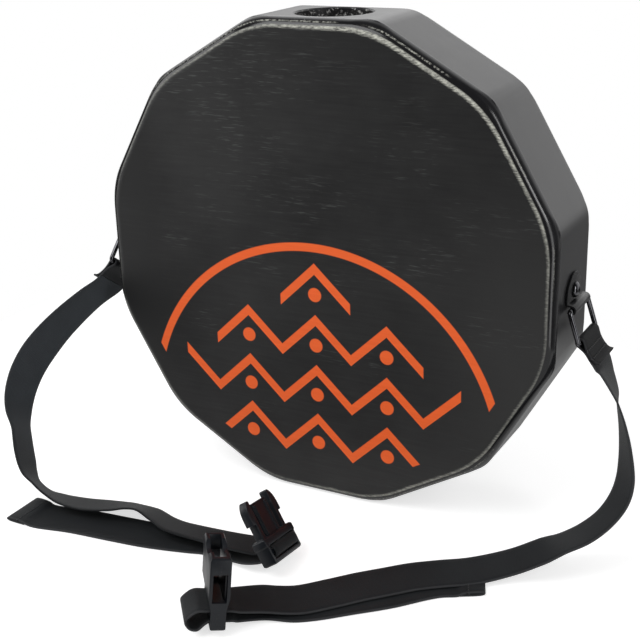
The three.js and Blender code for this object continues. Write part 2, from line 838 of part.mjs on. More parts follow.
// How far the webbing's middle line keeps from the ladder it is laced through.
const laceStandOff = webThickness / 2 + wireClearance;

// In the socket half the lace bags out into a loose loop below the ladder.
function socketLace() {
  const face = socketFootThickness / 2;
  const far = face + socketLoopReach;
  return rowsIn(socketGroup, [
    [0, -face - laceLead, upperSlotMiddle],
    [0, -face, upperSlotMiddle],
    [0, face, upperSlotMiddle],
    [0, face + socketLoopReach / 2, upperSlotMiddle],
    [0, far - socketLoopDrop / 2, upperSlotMiddle - socketLoopDrop / 2],
    [0, far, lowerSlotMiddle],
    [0, far - socketLoopDrop / 2, 0],
    [0, face + socketLoopReach / 2, lowerSlotMiddle - socketLoopDrop],
    [0, face + 3 * laceStandOff, lowerSlotMiddle - 2 * laceStandOff],
    [0, face, lowerSlotMiddle],
    [0, face - 2 * laceStandOff, lowerSlotMiddle],
  ], new THREE.Vector3(1, 0, 0));
}

function socketTailStart() {
  const face = socketFootThickness / 2;
  return rowsIn(socketGroup, [
    [0, face - 2 * laceStandOff - seatGap, lowerSlotMiddle],
    [0, -face, lowerSlotMiddle],
    [0, -face - laceLead, lowerSlotMiddle],
  ], new THREE.Vector3(1, 0, 0));
}

// In the prong half the lace is drawn tight round the middle bar.
function prongLace() {
  const face = prongBaseThickness / 2;
  return rowsIn(prongGroup, [
    [0, face + laceLead, upperSlotMiddle],
    [0, face, upperSlotMiddle],
    [0, 0, upperSlotMiddle],
    [0, laceStandOff / 2 - face, upperSlotMiddle],
    [0, -face - laceStandOff, upperSlotMiddle - laceStandOff],
    [0, -face - laceStandOff, lowerSlotMiddle + laceStandOff],
    [0, laceStandOff / 2 - face, lowerSlotMiddle],
    [0, 2 * laceStandOff - face, lowerSlotMiddle],
  ], new THREE.Vector3(1, 0, 0));
}

function prongTailStart() {
  const face = prongBaseThickness / 2;
  return rowsIn(prongGroup, [
    [0, 2 * laceStandOff - face + seatGap, lowerSlotMiddle],
    [0, face, lowerSlotMiddle],
    [0, face + laceLead, lowerSlotMiddle],
  ], new THREE.Vector3(1, 0, 0));
}

function addStrap(name, rows) {
  add(part, name, ribbonGeometry(rows), webbing);
}

addStrap('strap_right', [...startRows(1), ...rightRoute.map(row), ...socketLace()]);
addStrap('strap_left', [...startRows(-1), ...leftRoute.map(row), ...prongLace()]);
addStrap('strap_tail_right', [...socketTailStart(), ...rightTailRoute.map(row)]);
addStrap('strap_tail_left', [...prongTailStart(), ...leftTailRoute.map(row)]);

export default part;
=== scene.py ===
# %% [markdown]
# # A slim travel cajon with its carrying strap
# The drum is a ring of twelve mitred staves with a thin sheet of plywood glued on each face.
# Two side lugs hold wire rings, and a webbing strap in two halves hangs from them to the floor.
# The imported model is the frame: each visible piece below is fitted to it, in metres.

# %% Load the frame
from contextlib import contextmanager
from math import atan2, cos, pi, radians, sin, sqrt, tan

import bpy
from mathutils import Matrix, Vector


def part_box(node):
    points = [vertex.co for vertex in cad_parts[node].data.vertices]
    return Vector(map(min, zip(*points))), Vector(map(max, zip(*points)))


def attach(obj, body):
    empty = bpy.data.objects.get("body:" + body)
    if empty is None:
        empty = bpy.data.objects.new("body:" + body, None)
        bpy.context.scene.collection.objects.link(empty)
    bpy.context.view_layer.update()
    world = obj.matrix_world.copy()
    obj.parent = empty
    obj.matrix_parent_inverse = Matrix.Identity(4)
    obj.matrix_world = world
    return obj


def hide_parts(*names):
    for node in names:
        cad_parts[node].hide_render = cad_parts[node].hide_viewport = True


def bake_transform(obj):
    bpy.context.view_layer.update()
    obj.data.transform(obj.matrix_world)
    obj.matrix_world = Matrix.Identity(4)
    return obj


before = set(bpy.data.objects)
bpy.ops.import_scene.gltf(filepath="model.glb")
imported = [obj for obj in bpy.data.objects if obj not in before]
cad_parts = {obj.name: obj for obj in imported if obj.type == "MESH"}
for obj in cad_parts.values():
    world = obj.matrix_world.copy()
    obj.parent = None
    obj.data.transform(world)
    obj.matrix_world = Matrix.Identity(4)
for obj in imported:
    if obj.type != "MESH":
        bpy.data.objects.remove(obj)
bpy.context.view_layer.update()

scene = bpy.context.scene
mm = 0.001
print("nodes in the frame:", len(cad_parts))

# %% [markdown]
# ## Camera
# A product photograph is usually taken from a little above, with a long lens that keeps sides
# nearly parallel. The regular twelve-sided outline fixes this camera: one turn, one pitch, a small
# roll and one distance make all its corners fall where the photograph has them.

# %% Camera
camera_place = Vector((0.4579, -0.8726, 0.5098))
camera_yaw = radians(28.693)
camera_pitch = radians(20.277)
camera_roll = radians(-1.547)
camera_lens = 69.66


def placed(origin, x, y, z):
    """A matrix from a piece's own directions to the room, where they lie as x, y and z say."""
    return Matrix.Translation(origin) @ Matrix((x, y, z)).transposed().to_4x4()


def add_object(name, data):
    made = bpy.data.objects.new(name, data)
    scene.collection.objects.link(made)
    return made


toward_camera = Vector((
    sin(camera_yaw) * cos(camera_pitch),
    -cos(camera_yaw) * cos(camera_pitch),
    sin(camera_pitch),
))
level_right = Vector((0, 0, 1)).cross(toward_camera).normalized()
level_up = toward_camera.cross(level_right)
rolled_right = level_right * cos(camera_roll) + level_up * sin(camera_roll)
rolled_up = level_up * cos(camera_roll) - level_right * sin(camera_roll)

camera_data = bpy.data.cameras.new("camera")
camera_data.lens = camera_lens
camera_data.sensor_fit = "HORIZONTAL"
camera = add_object("camera", camera_data)
camera.matrix_world = placed(camera_place, rolled_right, rolled_up, toward_camera)
scene.camera = camera
print("camera lens", camera_lens)

# %% [markdown]
# ## Tools for nodes and meshes
# A finish is a formula over the surface. `Value` wraps what comes out of a node, so that a formula
# can be written as one: each sign in it adds one Math node. `fill` links or sets a node's inputs,
# and the functions after the signs add the other kinds of node.

# %% Node helpers
class Value:
    """What comes out of a node, ready for use in a formula."""
    def __init__(self, socket):
        self.socket = socket


def tree_of(inputs):
    return next(each.socket.id_data for each in inputs.values() if isinstance(each, Value))


def fill(node, inputs):
    for name, value in inputs.items():
        if isinstance(value, Value):
            node.id_data.links.new(value.socket, node.inputs[name])
        else:
            node.inputs[name].default_value = value
    return node


def place(kind, inputs, tree=None, **settings):
    """Adds a node, to the tree that its inputs come from if no other is named."""
    node = (tree or tree_of(inputs)).nodes.new(kind)
    for name, value in settings.items():
        setattr(node, name, value)
    return fill(node, inputs)


def outcome(output, kind, inputs, tree=None, **settings):
    return Value(place(kind, inputs, tree, **settings).outputs[output])


def maths(operation, first, second=0.0):
    return outcome(0, "ShaderNodeMath", {0: first, 1: second}, operation=operation)


def sign_for(operation):
    return lambda first, second=0.0: maths(operation, first, second)


signs = {
    "add": "ADD", "sub": "SUBTRACT", "mul": "MULTIPLY", "truediv": "DIVIDE", "abs": "ABSOLUTE",
    "mod": "FLOORED_MODULO", "pow": "POWER", "lt": "LESS_THAN", "gt": "GREATER_THAN"}
for sign, operation in signs.items():
    setattr(Value, f"__{sign}__", sign_for(operation))
Value.__rsub__ = lambda second, first: maths("SUBTRACT", first, second)
print("signs:", len(signs))

# %% Helpers for formulas
def larger(first, second):
    return maths("MAXIMUM", first, second)


def distance(across, up):
    return maths("SQRT", across ** 2 + up ** 2)


def vector_maths(operation, first, second, output="Vector"):
    inputs = {0: first, 1: tuple(second)}
    return outcome(output, "ShaderNodeVectorMath", inputs, operation=operation)


def separate(vector):
    return [Value(socket) for socket in place("ShaderNodeSeparateXYZ", {"Vector": vector}).outputs]


def noise(vector, scale, detail=4.0, roughness=0.5):
    """Noise of one scale, or of one for each direction, which draws it out as grain is."""
    if isinstance(scale, tuple):
        vector = outcome("Vector", "ShaderNodeMapping", {"Vector": vector, "Scale": scale})
        scale = 1.0
    inputs = {"Vector": vector, "Scale": scale, "Detail": detail, "Roughness": roughness}
    return outcome("Fac", "ShaderNodeTexNoise", inputs)


def ramp(value, low, high, at_low=0.0, at_high=1.0):
    inputs = {"Value": value, "From Min": low, "From Max": high,
              "To Min": at_low, "To Max": at_high}
    return outcome("Result", "ShaderNodeMapRange", inputs)


def blend_colours(share, first, second):
    return outcome(2, "ShaderNodeMix", {0: share, 6: first, 7: second}, data_type="RGBA")


print("formula helpers ready")

# %% [markdown]
# An effect that several finishes share is a node group. Its inputs are numbers with a start value,
# or vectors, and it puts out plain numbers. A finish itself starts as a material with its place on
# the object, and ends by filling the shader and bumping the surface by a height.

# %% Groups and materials
def new_group(name, inputs, outputs):
    """An empty group. An input that starts as None is a vector."""
    tree = bpy.data.node_groups.new(name, "ShaderNodeTree")
    for label, start in inputs.items():
        kind = "NodeSocketVector" if start is None else "NodeSocketFloat"
        made = tree.interface.new_socket(label, in_out="INPUT", socket_type=kind)
        if start is not None:
            made.default_value = start
    for label in outputs:
        tree.interface.new_socket(label, in_out="OUTPUT", socket_type="NodeSocketFloat")
    given = tree.nodes.new("NodeGroupInput").outputs
    return tree, [Value(given[label]) for label in inputs]


def end_group(tree, outputs):
    fill(tree.nodes.new("NodeGroupOutput"), outputs)
    return tree


def named_outputs(node):
    return {socket.name: Value(socket) for socket in node.outputs}


def use_group(group, **inputs):
    return named_outputs(place("ShaderNodeGroup", inputs, node_tree=group))


def new_material(name, preview):
    made = bpy.data.materials.new(name)
    made.use_nodes = True
    made.diffuse_color = preview
    return made


def object_place(made):
    return outcome("Object", "ShaderNodeTexCoord", {}, made.node_tree)


def end_material(made, inputs, height, strength, relief):
    """Fills the material's shader. The relief is a distance, and the strength a share of it."""
    bump = {"Height": height, "Strength": strength, "Distance": relief}
    normal = outcome("Normal", "ShaderNodeBump", bump)
    fill(made.node_tree.nodes["Principled BSDF"], {**inputs, "Normal": normal})
    return made


print("group and material helpers ready")

# %% Mesh helpers
def only(*pieces):
    for each in list(bpy.context.selected_objects):
        each.select_set(False)
    for piece in pieces:
        piece.select_set(True)
    bpy.context.view_layer.objects.active = pieces[0]


@contextmanager
def editing(piece, select="SELECT"):
    """Opens a piece in edit mode for as long as the indented lines under it run."""
    only(piece)
    bpy.ops.object.mode_set(mode="EDIT")
    if select:
        bpy.ops.mesh.select_all(action=select)
    yield
    bpy.ops.object.mode_set(mode="OBJECT")


def name_piece(name):
    piece = bpy.context.object
    piece.name = piece.data.name = name
    return piece


def settle(piece):
    """Puts a piece's place and turn into its mesh."""
    only(piece)
    bpy.ops.object.transform_apply(location=True, rotation=True, scale=True)
    return piece


def twin(piece, name):
    made = add_object(name, piece.data.copy())
    made.data.name = name
    return made


def modify(piece, kind, **settings):
    only(piece)
    modifier = piece.modifiers.new(kind.title(), kind)
    for name, value in settings.items():
        setattr(modifier, name, value)
    bpy.ops.object.modifier_apply(modifier=modifier.name)
    return piece


def carve(piece, cutter):
    modify(piece, "BOOLEAN", object=cutter, operation="DIFFERENCE", solver="EXACT")
    bpy.data.objects.remove(cutter)
    return piece


def slice_off(piece, point, away):
    """Takes off what lies past a plane, on the side that it faces, and closes the cut."""
    with editing(piece):
        bpy.ops.mesh.bisect(plane_co=point, plane_no=away, use_fill=True, clear_outer=True)
    return piece


def smooth(piece, angle=30):
    only(piece)
    bpy.ops.object.shade_smooth_by_angle(angle=radians(angle))
    return piece


def dress(piece, body, material, node=None):
    """Gives a piece its finish and, in the frame, its body and the node that it stands for."""
    piece.data.materials.clear()
    piece.data.materials.append(material)
    if body:
        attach(piece, body)
    if node:
        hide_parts(node)
    return piece


print("mesh helpers ready")

# %% [markdown]
# ## Where the straps run
# Each strap half is one length of 38 mm webbing. It is sewn round its ring, twists as it falls to
# the floor, and is laced through its half of the buckle, which leaves a loose tail. The camera and
# these routes come first, because everything else has to leave room for them. A row of a route is
# a point in the middle of the webbing, the heading of its far edge in degrees, and that edge's dip.

# %% Strap sizes and routes
web_width = 38 * mm
web_thickness = 1.6 * mm
seat_gap = 0.3 * mm
lace_stand_off = web_thickness / 2 + 0.4 * mm
lace_lead = 4 * mm

right_route = [
    (232, -7, 139, 90, 16),
    (239, -10, 127, 95, 22),
    (243, -14, 119, 104, 24),
    (249, -19, 103, 111, 28),
    (255, -29, 86, 119, 29),
    (258, -37, 67, 126, 21),
    (256, -45, 54, 128, 18),
    (249, -55, 42, 124, 13),
    (237, -64, 31, 118, 8),
    (224, -72, 24, 116, 8),
    (210, -81, 18, 115, 1),
    (190, -89, 8, 116, 1),
    (165, -108, 3.8, 117, 0),
    (144, -122, 3.4, 117, 0),
    (127, -135, 3.4, 121, 0),
    (113, -149, 3.4, 125, 0),
    (98, -164, 3.4, 128, 0),
    (83, -181, 3.4, 130, 0),
    (66, -199, 3.6, 129, 0),
    (55.5, -207, 5, 128, 0),
    (46, -216, 8.5, 126, 1),
    (33.5, -232, 13.5, 127, 4),
]

left_route = [
    (-228, -48, 147, 96, 41),
    (-240, -75, 130, 90, 46),
    (-243, -100, 117, 82, 46),
    (-245, -113, 107, 80, 40),
    (-245, -125, 96, 82, 33),
    (-245, -133, 83, 87, 24),
    (-242, -140, 71, 95, 25),
    (-235, -147, 58, 107, 25),
    (-229, -153, 44, 106, 25),
    (-223, -158, 35, 107, 25),
    (-218, -161, 27, 113, 24),
    (-210, -162, 18.5, 124, 24),
    (-200, -161, 11.5, 124, 23),
    (-189, -159, 7.6, 121, 18),
    (-167, -157, 6.6, 122, 14),
    (-142, -153, 9, 125, 16),
    (-128, -148, 9.8, 124, 21),
    (-119, -146, 9.8, 123, 22),
    (-100, -147, 7.6, 112, 17),
    (-80, -155, 8, 109, 16),
    (-67, -156, 7.4, 113, 15),
    (-50, -156, 7.4, 117, 13),
    (-24, -158, 9.4, 105, 13),
    (-10, -158.4, 10.4, 98, 12),
    (4, -158.7, 11.6, 95, 11),
]

right_tail_route = [
    (32, -232, 6.2, 126, 2),
    (45.5, -216, 3, 123, 0),
    (64, -207, 1.2, 123, 0),
    (76, -199, 1.2, 128, 0),
    (96, -181, 1.2, 131, 0),
    (117, -162, 1.2, 132, 0),
    (142, -135, 1.2, 132, 0),
    (156, -126, 1.2, 125, 0),
    (176.5, -113.5, 1.2, 112, 0),
]

left_tail_route = [
    (6, -161, 4.4, 94, 8),
    (-10, -157, 2.3, 94, 3),
    (-38, -155, 1.4, 98, 0),
    (-50, -158, 1.2, 98, 0),
    (-85, -166, 1.2, 97, 0),
    (-118, -170, 1.2, 96, 0),
    (-157, -174, 1.2, 99, 0),
    (-191, -180, 1.2, 97, 0),
    (-214, -179, 1.2, 90, 0),
]
print("route rows:", len(right_route), len(left_route))

# %% [markdown]
# The buckle halves and the folds at the rings each have their own directions, as a workpiece has on
# the bench. A matrix takes a point from them to the room, so the lacing can be written in plain
# sizes: across the ladder, through it, and up from its foot.

# %% Places of the buckle halves and the strap folds
half_flats = 200 * mm
drum_centre = Vector((0, 0, half_flats))
lug_bar_stand_off = 5 * mm
lug_bar_drop = 11 * mm
ring_drop = 26 * mm
fold_tilt = radians(36)


def across_direction(heading, dip):
    heading, dip = radians(heading), radians(dip)
    return Vector((cos(dip) * cos(heading), cos(dip) * sin(heading), -sin(dip)))


def buckle_place(foot, heading, dip, up_share):
    up = Vector(up_share).normalized()
    through = up.cross(across_direction(heading, dip)).normalized()
    return placed(Vector(foot) * mm, through.cross(up), through, up)


socket_place = buckle_place((21.6, -245.4, 3.8), 129, 6, (0.02, 0.16, 0.99))
prong_place = buckle_place((29.8, -159, 7.8), 94, 10.5, (-0.555, 0.115, 0.824))

# For each hand: the side of the drum, the turn of the lug, and the tilt of the ring in it.
hangings = {"right": (1, 0, radians(18)), "left": (-1, radians(35), radians(7))}


def lug_place(hand):
    side, turn, _ = hangings[hand]
    on_flat = Matrix.Translation(drum_centre + Vector((side * half_flats, 0, 0)))
    facing = Matrix.Rotation(0 if side > 0 else pi, 4, "Z")
    return on_flat @ Matrix.Rotation(-turn, 4, "X") @ facing


def fold_place(hand):
    tilt = hangings[hand][2]
    bar = (lug_bar_stand_off + ring_drop * sin(tilt), 0, -lug_bar_drop - ring_drop * cos(tilt))
    return lug_place(hand) @ Matrix.Translation(bar) @ Matrix.Rotation(-fold_tilt, 4, "Y")


for hand in hangings:
    print(hand, "lower bar:", [round(x, 4) for x in fold_place(hand).translation])

# %% Lacing through the ladders
ladder_low = 5.5 * mm
ladder_high = 13 * mm
socket_face = 5.5 * mm
prong_face = 6 * mm
loop_reach = 17 * mm
loop_drop = 6.5 * mm
fold_leg = 16 * mm
fold_pinch = 0.2 * mm
strap_straight_start = 6 * mm


def route_rows(route):
    return [(Vector(point) * mm, across_direction(heading, dip)) for *point, heading, dip in route]


def rows_in(matrix, places, across=Vector((1, 0, 0))):
    turned = (matrix.to_3x3() @ across).normalized()
    return [(matrix @ Vector(point), turned.copy()) for point in places]


def lace(matrix, face, places):
    """Rows through a ladder: each place is a side of it, a way out of that face, and a level."""
    return rows_in(matrix, [(0, side * (face + out), level) for side, out, level in places])


def start_rows(hand):
    leg, start = -web_thickness / 2 - fold_pinch, -fold_leg - seat_gap
    places = [(leg, 0, start), (leg, 0, start - strap_straight_start)]
    return rows_in(fold_place(hand), places, Vector((0, hangings[hand][0], 0)))


socket_lace = lace(socket_place, socket_face, [
    (-1, lace_lead, ladder_high),
    (-1, 0, ladder_high),
    (1, 0, ladder_high),
    (1, loop_reach / 2, ladder_high),
    (1, loop_reach - loop_drop / 2, ladder_high - loop_drop / 2),
    (1, loop_reach, ladder_low),
    (1, loop_reach - loop_drop / 2, 0),
    (1, loop_reach / 2, ladder_low - loop_drop),
    (1, 3 * lace_stand_off, ladder_low - 2 * lace_stand_off),
    (1, 0, ladder_low),
    (1, -2 * lace_stand_off, ladder_low),
])
socket_tail_start = lace(socket_place, socket_face, [
    (1, -2 * lace_stand_off - seat_gap, ladder_low),
    (-1, 0, ladder_low),
    (-1, lace_lead, ladder_low),
])
prong_lace = lace(prong_place, prong_face, [
    (1, lace_lead, ladder_high),
    (1, 0, ladder_high),
    (1, -prong_face, ladder_high),
    (-1, -lace_stand_off / 2, ladder_high),
    (-1, lace_stand_off, ladder_high - lace_stand_off),
    (-1, lace_stand_off, ladder_low + lace_stand_off),
    (-1, -lace_stand_off / 2, ladder_low),
    (-1, -2 * lace_stand_off, ladder_low),
])
prong_tail_start = lace(prong_place, prong_face, [
    (-1, -2 * lace_stand_off - seat_gap, ladder_low),
    (1, 0, ladder_low),
    (1, lace_lead, ladder_low),
])
print("lace rows:", len(socket_lace), len(prong_lace))

# %% [markdown]
# ## Webbing as a ribbon
# A ribbon is a section swept along a smooth curve. The curve passes through every row and leaves
# short gaps between rows gently, which is what a centripetal spline does. The section is flat
# with half-round selvages, as woven tape is. Its UV map holds real metres across and along, so
# the weave keeps its scale however the strap twists.

# %% Ribbon builder
edge_steps = 4
face_steps = 8
shortest_gap = 1e-6


def spline_point(before, here, after, beyond, share):
    first, second, third = (max((b - a).length, shortest_gap) ** 0.5
                            for a, b in ((before, here), (here, after), (after, beyond)))
    leave = ((here - before) / first - (after - before) / (first + second)
             + (after - here) / second) * second
    arrive = ((after - here) / second - (beyond - here) / (second + third)
              + (beyond - after) / third) * second
    square = 3 * (after - here) - 2 * leave - arrive
    cube = 2 * (here - after) + leave + arrive
    return here + (leave + (square + cube * share) * share) * share


def spline(points, steps):
    ends = [2 * points[0] - points[1], *points, 2 * points[-1] - points[-2]]
    line = [spline_point(*ends[i:i + 4], step / steps)
            for i in range(len(points) - 1) for step in range(steps)]
    return [*line, points[-1].copy()]


def section_points():
    """The points round one section: two flat faces, and a half-round selvage after each."""
    radius = web_thickness / 2
    half = web_width / 2 - radius
    points = []
    for side in (1, -1):
        points += [(side * (half - 2 * half * i / face_steps), side * radius)
                   for i in range(face_steps + 1)]
        points += [(-side * (half + radius * sin(pi * i / edge_steps)),
                    side * radius * cos(pi * i / edge_steps)) for i in range(1, edge_steps)]
    return points


web_section = section_points()


def ribbon(name, rows, steps=8):
    """A length of webbing, with the line along its middle and how long it is."""
    middle, across = (spline(list(column), steps) for column in zip(*rows))
    count, last = len(web_section), len(middle) - 1
    places, ways, travelled = [], [], 0.0
    for i, centre in enumerate(middle):
        ahead = middle[min(i + 1, last)] - middle[max(i - 1, 0)]
        far = across[i].normalized()
        upper = ahead.cross(far).normalized()
        places += [tuple(centre + far * side + upper * face) for side, face in web_section]
        travelled += (centre - middle[i - 1]).length if i else 0.0
        ways.append(travelled)
    faces = []
    for here in range(0, last * count, count):
        for j in range(count):
            k = (j + 1) % count
            faces.append((here + j, here + k, here + count + k, here + count + j))
    faces += [tuple(reversed(range(count))), tuple(last * count + j for j in range(count))]
    mesh = bpy.data.meshes.new(name)
    mesh.from_pydata(places, [], faces)
    uv = mesh.uv_layers.new(name="weave")
    for loop in mesh.loops:
        i, j = divmod(loop.vertex_index, count)
        uv.data[loop.index].uv = (web_section[j][0], ways[i])
    mesh.update()
    piece = add_object(name, mesh)
    with editing(piece):
        bpy.ops.mesh.normals_make_consistent(inside=False)
    print(name, "is", round(travelled, 4), "m of webbing")
    return smooth(piece, 50), middle, travelled


print("points round a section:", len(web_section))

# %% [markdown]
# ## Webbing finish
# Black polyester webbing is a dense rib weave: cords run along it, and a thread crosses over them.
# Close up it is a soft grey-black with a slight sheen along the ribs, and the selvages are smoother.
# The colour is painted lighter on the raised ribs and darker between them, a painted sheen and
# shade, and the selvages are painted a lighter grey, a painted highlight.
# A fine grid in the UV map, bent into ribs by a bump, gives this at any angle. The doubled, sewn
# end on the right has a blacker copy of the webbing, a painted shade. The left strap's upper part
# is painted paler and a little bluer, a painted light, and the rest of it, towards the buckle, is
# painted nearly black, a painted shade.

# %% Weave group
selvage_outside = 1.1 * mm
selvage_inside = 1.7 * mm


def weave_group():
    tree, (uv, rib_pitch, pick_pitch) = new_group(
        "tape weave", {"UV": None, "Rib pitch": 1.5 * mm, "Pick pitch": 0.9 * mm},
        ("Height", "Tint", "Selvage"))
    side, forward, _ = separate(uv)
    across = side / rib_pitch
    rib = maths("PINGPONG", across, 0.5)
    pick = maths("PINGPONG", forward / pick_pitch + maths("FLOOR", across) * 0.5, 0.5)
    height = maths("SQRT", rib) * (pick + 0.5)
    selvage = ramp(abs(side), web_width / 2 - selvage_inside, web_width / 2 - selvage_outside)
    # Painted sheen and shade: the colour is lighter on the raised ribs and darker between them.
    painted_rib_sheen = noise(uv, 900, 3) * height
    return end_group(tree, {"Height": height, "Tint": painted_rib_sheen, "Selvage": selvage})


tape_weave = weave_group()
print("sockets of the weave:", len(tape_weave.interface.items_tree))

# %% Webbing finishes
web_relief = 0.25 * mm
# The selvages' lighter grey is a painted highlight.
selvage_highlight_grey = (0.042, 0.043, 0.046, 1)
# Painted shade: the near-black that the left strap goes to towards the buckle.
painted_shade_black = (0.0035, 0.0042, 0.0050, 1)
light_to_shade_reach = 100 * mm


def webbing_material(name, dark, pale, shine, painted_light_until=None):
    """Webbing, which can have painted light for a length from its sewn end, and painted shade after
    it.
    """
    made = new_material(name, (0.03, 0.031, 0.033, 1))
    uv = outcome("UV", "ShaderNodeUVMap", {}, made.node_tree, uv_map="weave")
    weave = use_group(tape_weave, UV=uv)
    # The tone carries the ribs' painted sheen and shade.
    tone_and_painted_light = weave["Tint"] * 0.9 + noise(object_place(made), 35, 3) * 0.35
    colour = blend_colours(tone_and_painted_light, dark, pale)
    # Painted highlight: the selvages are blended towards a lighter grey.
    colour = blend_colours(weave["Selvage"] * 0.6, colour, selvage_highlight_grey)
    # Painted light on the upper length, and painted shade past it towards the buckle.
    if painted_light_until:
        painted_shade_share = ramp(separate(uv)[1], painted_light_until, painted_light_until + light_to_shade_reach)
        colour = blend_colours(painted_shade_share * 0.85, colour, painted_shade_black)
    inputs = {"Base Color": colour, "Roughness": 0.62, "Specular IOR Level": shine,
              "Sheen Weight": 0.4 * shine, "Sheen Roughness": 0.4}
    return end_material(made, inputs, weave["Height"], 0.55, web_relief)


webbing = webbing_material(
    "black webbing", (0.0038, 0.0046, 0.0056, 1), (0.0220, 0.0252, 0.0285, 1), 0.25)
# A blacker copy for the right sewn end: painted shade.
shaded_sewn_webbing = webbing_material(
    "sewn webbing with painted shade", (0.003, 0.003, 0.0035, 1), (0.014, 0.0145, 0.016, 1), 0.12)
# A paler, bluer copy for the left strap: painted light above, painted shade towards the buckle.
painted_light_webbing = webbing_material(
    "webbing with painted light and shade", (0.0210, 0.0248, 0.0278, 1), (0.084, 0.096, 0.109, 1), 0.16, 130 * mm)
print("webbing finishes ready")

# %% [markdown]
# ## The long runs
# A strap run leaves its sewn end at the ring and comes to rest on the floor.

# %% Straps
blend_end_row = 7


def webbing_cord(piece, line, length, with_piece, **ends):
    tuple(line[0])
    [tuple(point) for point in line]


def hang_strap(hand, rows, buckle_half, finish):
    node = f"strap_{hand}"
    piece, middle, length = ribbon(node + "_run", rows)
    dress(piece, None, finish, node)
    start, end = (tuple(rows[i][0]) for i in (0, blend_end_row))
    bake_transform(piece)
    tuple(start)
    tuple(end)
    webbing_cord(piece, middle, length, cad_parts[buckle_half],
                 far_end="connector", lay="hanging")


hang_strap("right", start_rows("right") + route_rows(right_route) + socket_lace,
           "buckle_socket", webbing)
# The left strap's run has painted light on its upper part and painted shade towards the buckle.
hang_strap("left", start_rows("left") + route_rows(left_route) + prong_lace,
           "buckle_prongs", painted_light_webbing)

# %% [markdown]
# ## Thread
# One stitch is modelled as a slim grain of thread that dips into the webbing at both ends. An array
# repeats it along a seam, and each row leaves one loose end at the webbing's near edge. A seam's
# own directions are: x out of the webbing's face, y across the webbing, z along it.

# %% Stitches
thread = 1.2 * mm
stitch_length = 2.9 * mm
stitch_pitch = 3.2 * mm
stitch_count = 11
loose_end = 5 * mm
loose_end_turns = (25, -38)
thread_relief = 0.1 * mm


def thread_material():
    made = new_material("black thread", (0.02, 0.02, 0.021, 1))
    twist = noise(object_place(made), 4200, 2)
    colour = blend_colours(twist, (0.002, 0.002, 0.0025, 1), (0.022, 0.022, 0.024, 1))
    return end_material(made, {"Base Color": colour, "Roughness": 0.5}, twist, 0.4, thread_relief)


sewing_thread = thread_material()


def one_stitch(name, length):
    bpy.ops.mesh.primitive_uv_sphere_add(segments=8, ring_count=6, radius=1)
    stitch = name_piece(name)
    stitch.scale = (thread / 2, length / 2, thread / 2)
    return settle(stitch)


def seam(name, body, matrix, face, levels):
    """Rows of stitches across the webbing, with a loose end at each."""
    half_row = stitch_pitch * (stitch_count - 1) / 2
    parts = []
    for level, turn in zip(levels, loose_end_turns):
        row = one_stitch(name, stitch_length)
        modify(row, "ARRAY", count=stitch_count, use_relative_offset=False,
               use_constant_offset=True, constant_offset_displace=(0, stitch_pitch, 0))
        row.matrix_world = matrix @ Matrix.Translation((face, -half_row, level))
        end = one_stitch(name, loose_end)
        near_edge = Matrix.Translation((face, -web_width / 2 - loose_end / 4, level))
        end.matrix_world = matrix @ near_edge @ Matrix.Rotation(radians(turn), 4, "X")
        parts += [settle(row), settle(end)]
    only(*parts)
    bpy.ops.object.join()
    piece = smooth(parts[0], 60)
    piece.name = piece.data.name = name
    print(name, "has", len(levels), "rows")
    return dress(piece, body, sewing_thread)


# %% [markdown]
# ## Loose tails
# A tail's last two centimetres are folded under and sewn, so that it can't slip out of the buckle.
# The fold lifts the upper layer by one thickness of webbing.

# %% Loose tails
hem_length = 20 * mm
hem_lift = web_thickness + 0.2 * mm
UP = Vector((0, 0, 1))


def hemmed(rows):
    """A tail's rows with its end turned under, and the seam's own directions."""
    (before, _), (end, far) = rows[-2:]
    along = (end - before).normalized()
    near_end = end - along * hem_lift
    folded = [end - along * 0.7 * hem_length + UP * hem_lift, near_end + UP * hem_lift,
              end + UP * hem_lift / 2, near_end, end - along * 0.9 * hem_length]
    on_hem = end - along * 0.6 * hem_length + UP * (hem_lift + web_thickness / 2)
    seam_place = placed(on_hem, UP, far, UP.cross(far).normalized())
    return rows[:-1] + [(point, far) for point in folded], seam_place


def lay_tail(hand, rows):
    """One loose tail with the stitches of its hem, its middle line and its length."""
    rows, seam_place = hemmed(rows)
    tail, line, length = ribbon(f"{hand}_strap_tail", rows)
    dress(tail, "drum", webbing, f"strap_tail_{hand}")
    return tail, seam(f"hem_stitches_{hand}", "drum", seam_place, 0, (0,)), line, length


tail, stitches, _, length = lay_tail("right", socket_tail_start + route_rows(right_tail_route))

tail, stitches, line, length = lay_tail("left", prong_tail_start + route_rows(left_tail_route))
webbing_cord(tail, line, length, stitches, far_end="bare", lay="loose")

# %% [markdown]
# ## Folds at the rings
# Each strap end goes round its ring's lower bar and is sewn back on itself with two rows, and the
# cut end is left standing a little off.

# %% Strap folds
wire = 4 * mm
wire_clearance = 0.4 * mm
fold_wrap = wire / 2 + wire_clearance + web_thickness / 2
fold_flap = 21 * mm
fold_flap_lift = 3.4 * mm
fold_flap_bend = 4 * mm
fold_seams = (-8 * mm, -15 * mm)


def fold_rows(matrix):
    leg = web_thickness / 2 + fold_pinch
    round_bar = [(fold_wrap * cos(radians(turn)), 0, fold_wrap * sin(radians(turn)))
                 for turn in range(200, -21, -20)]
    places = [(-leg, 0, -fold_leg), (-leg, 0, -fold_leg / 2), *round_bar,
              (leg, 0, -fold_leg / 2), (leg, 0, -fold_leg),
              (leg + fold_flap_lift / 3, 0, -fold_flap + fold_flap_bend / 2),
              (leg + fold_flap_lift, 0, -fold_flap)]
    return rows_in(matrix, places, Vector((0, 1, 0)))


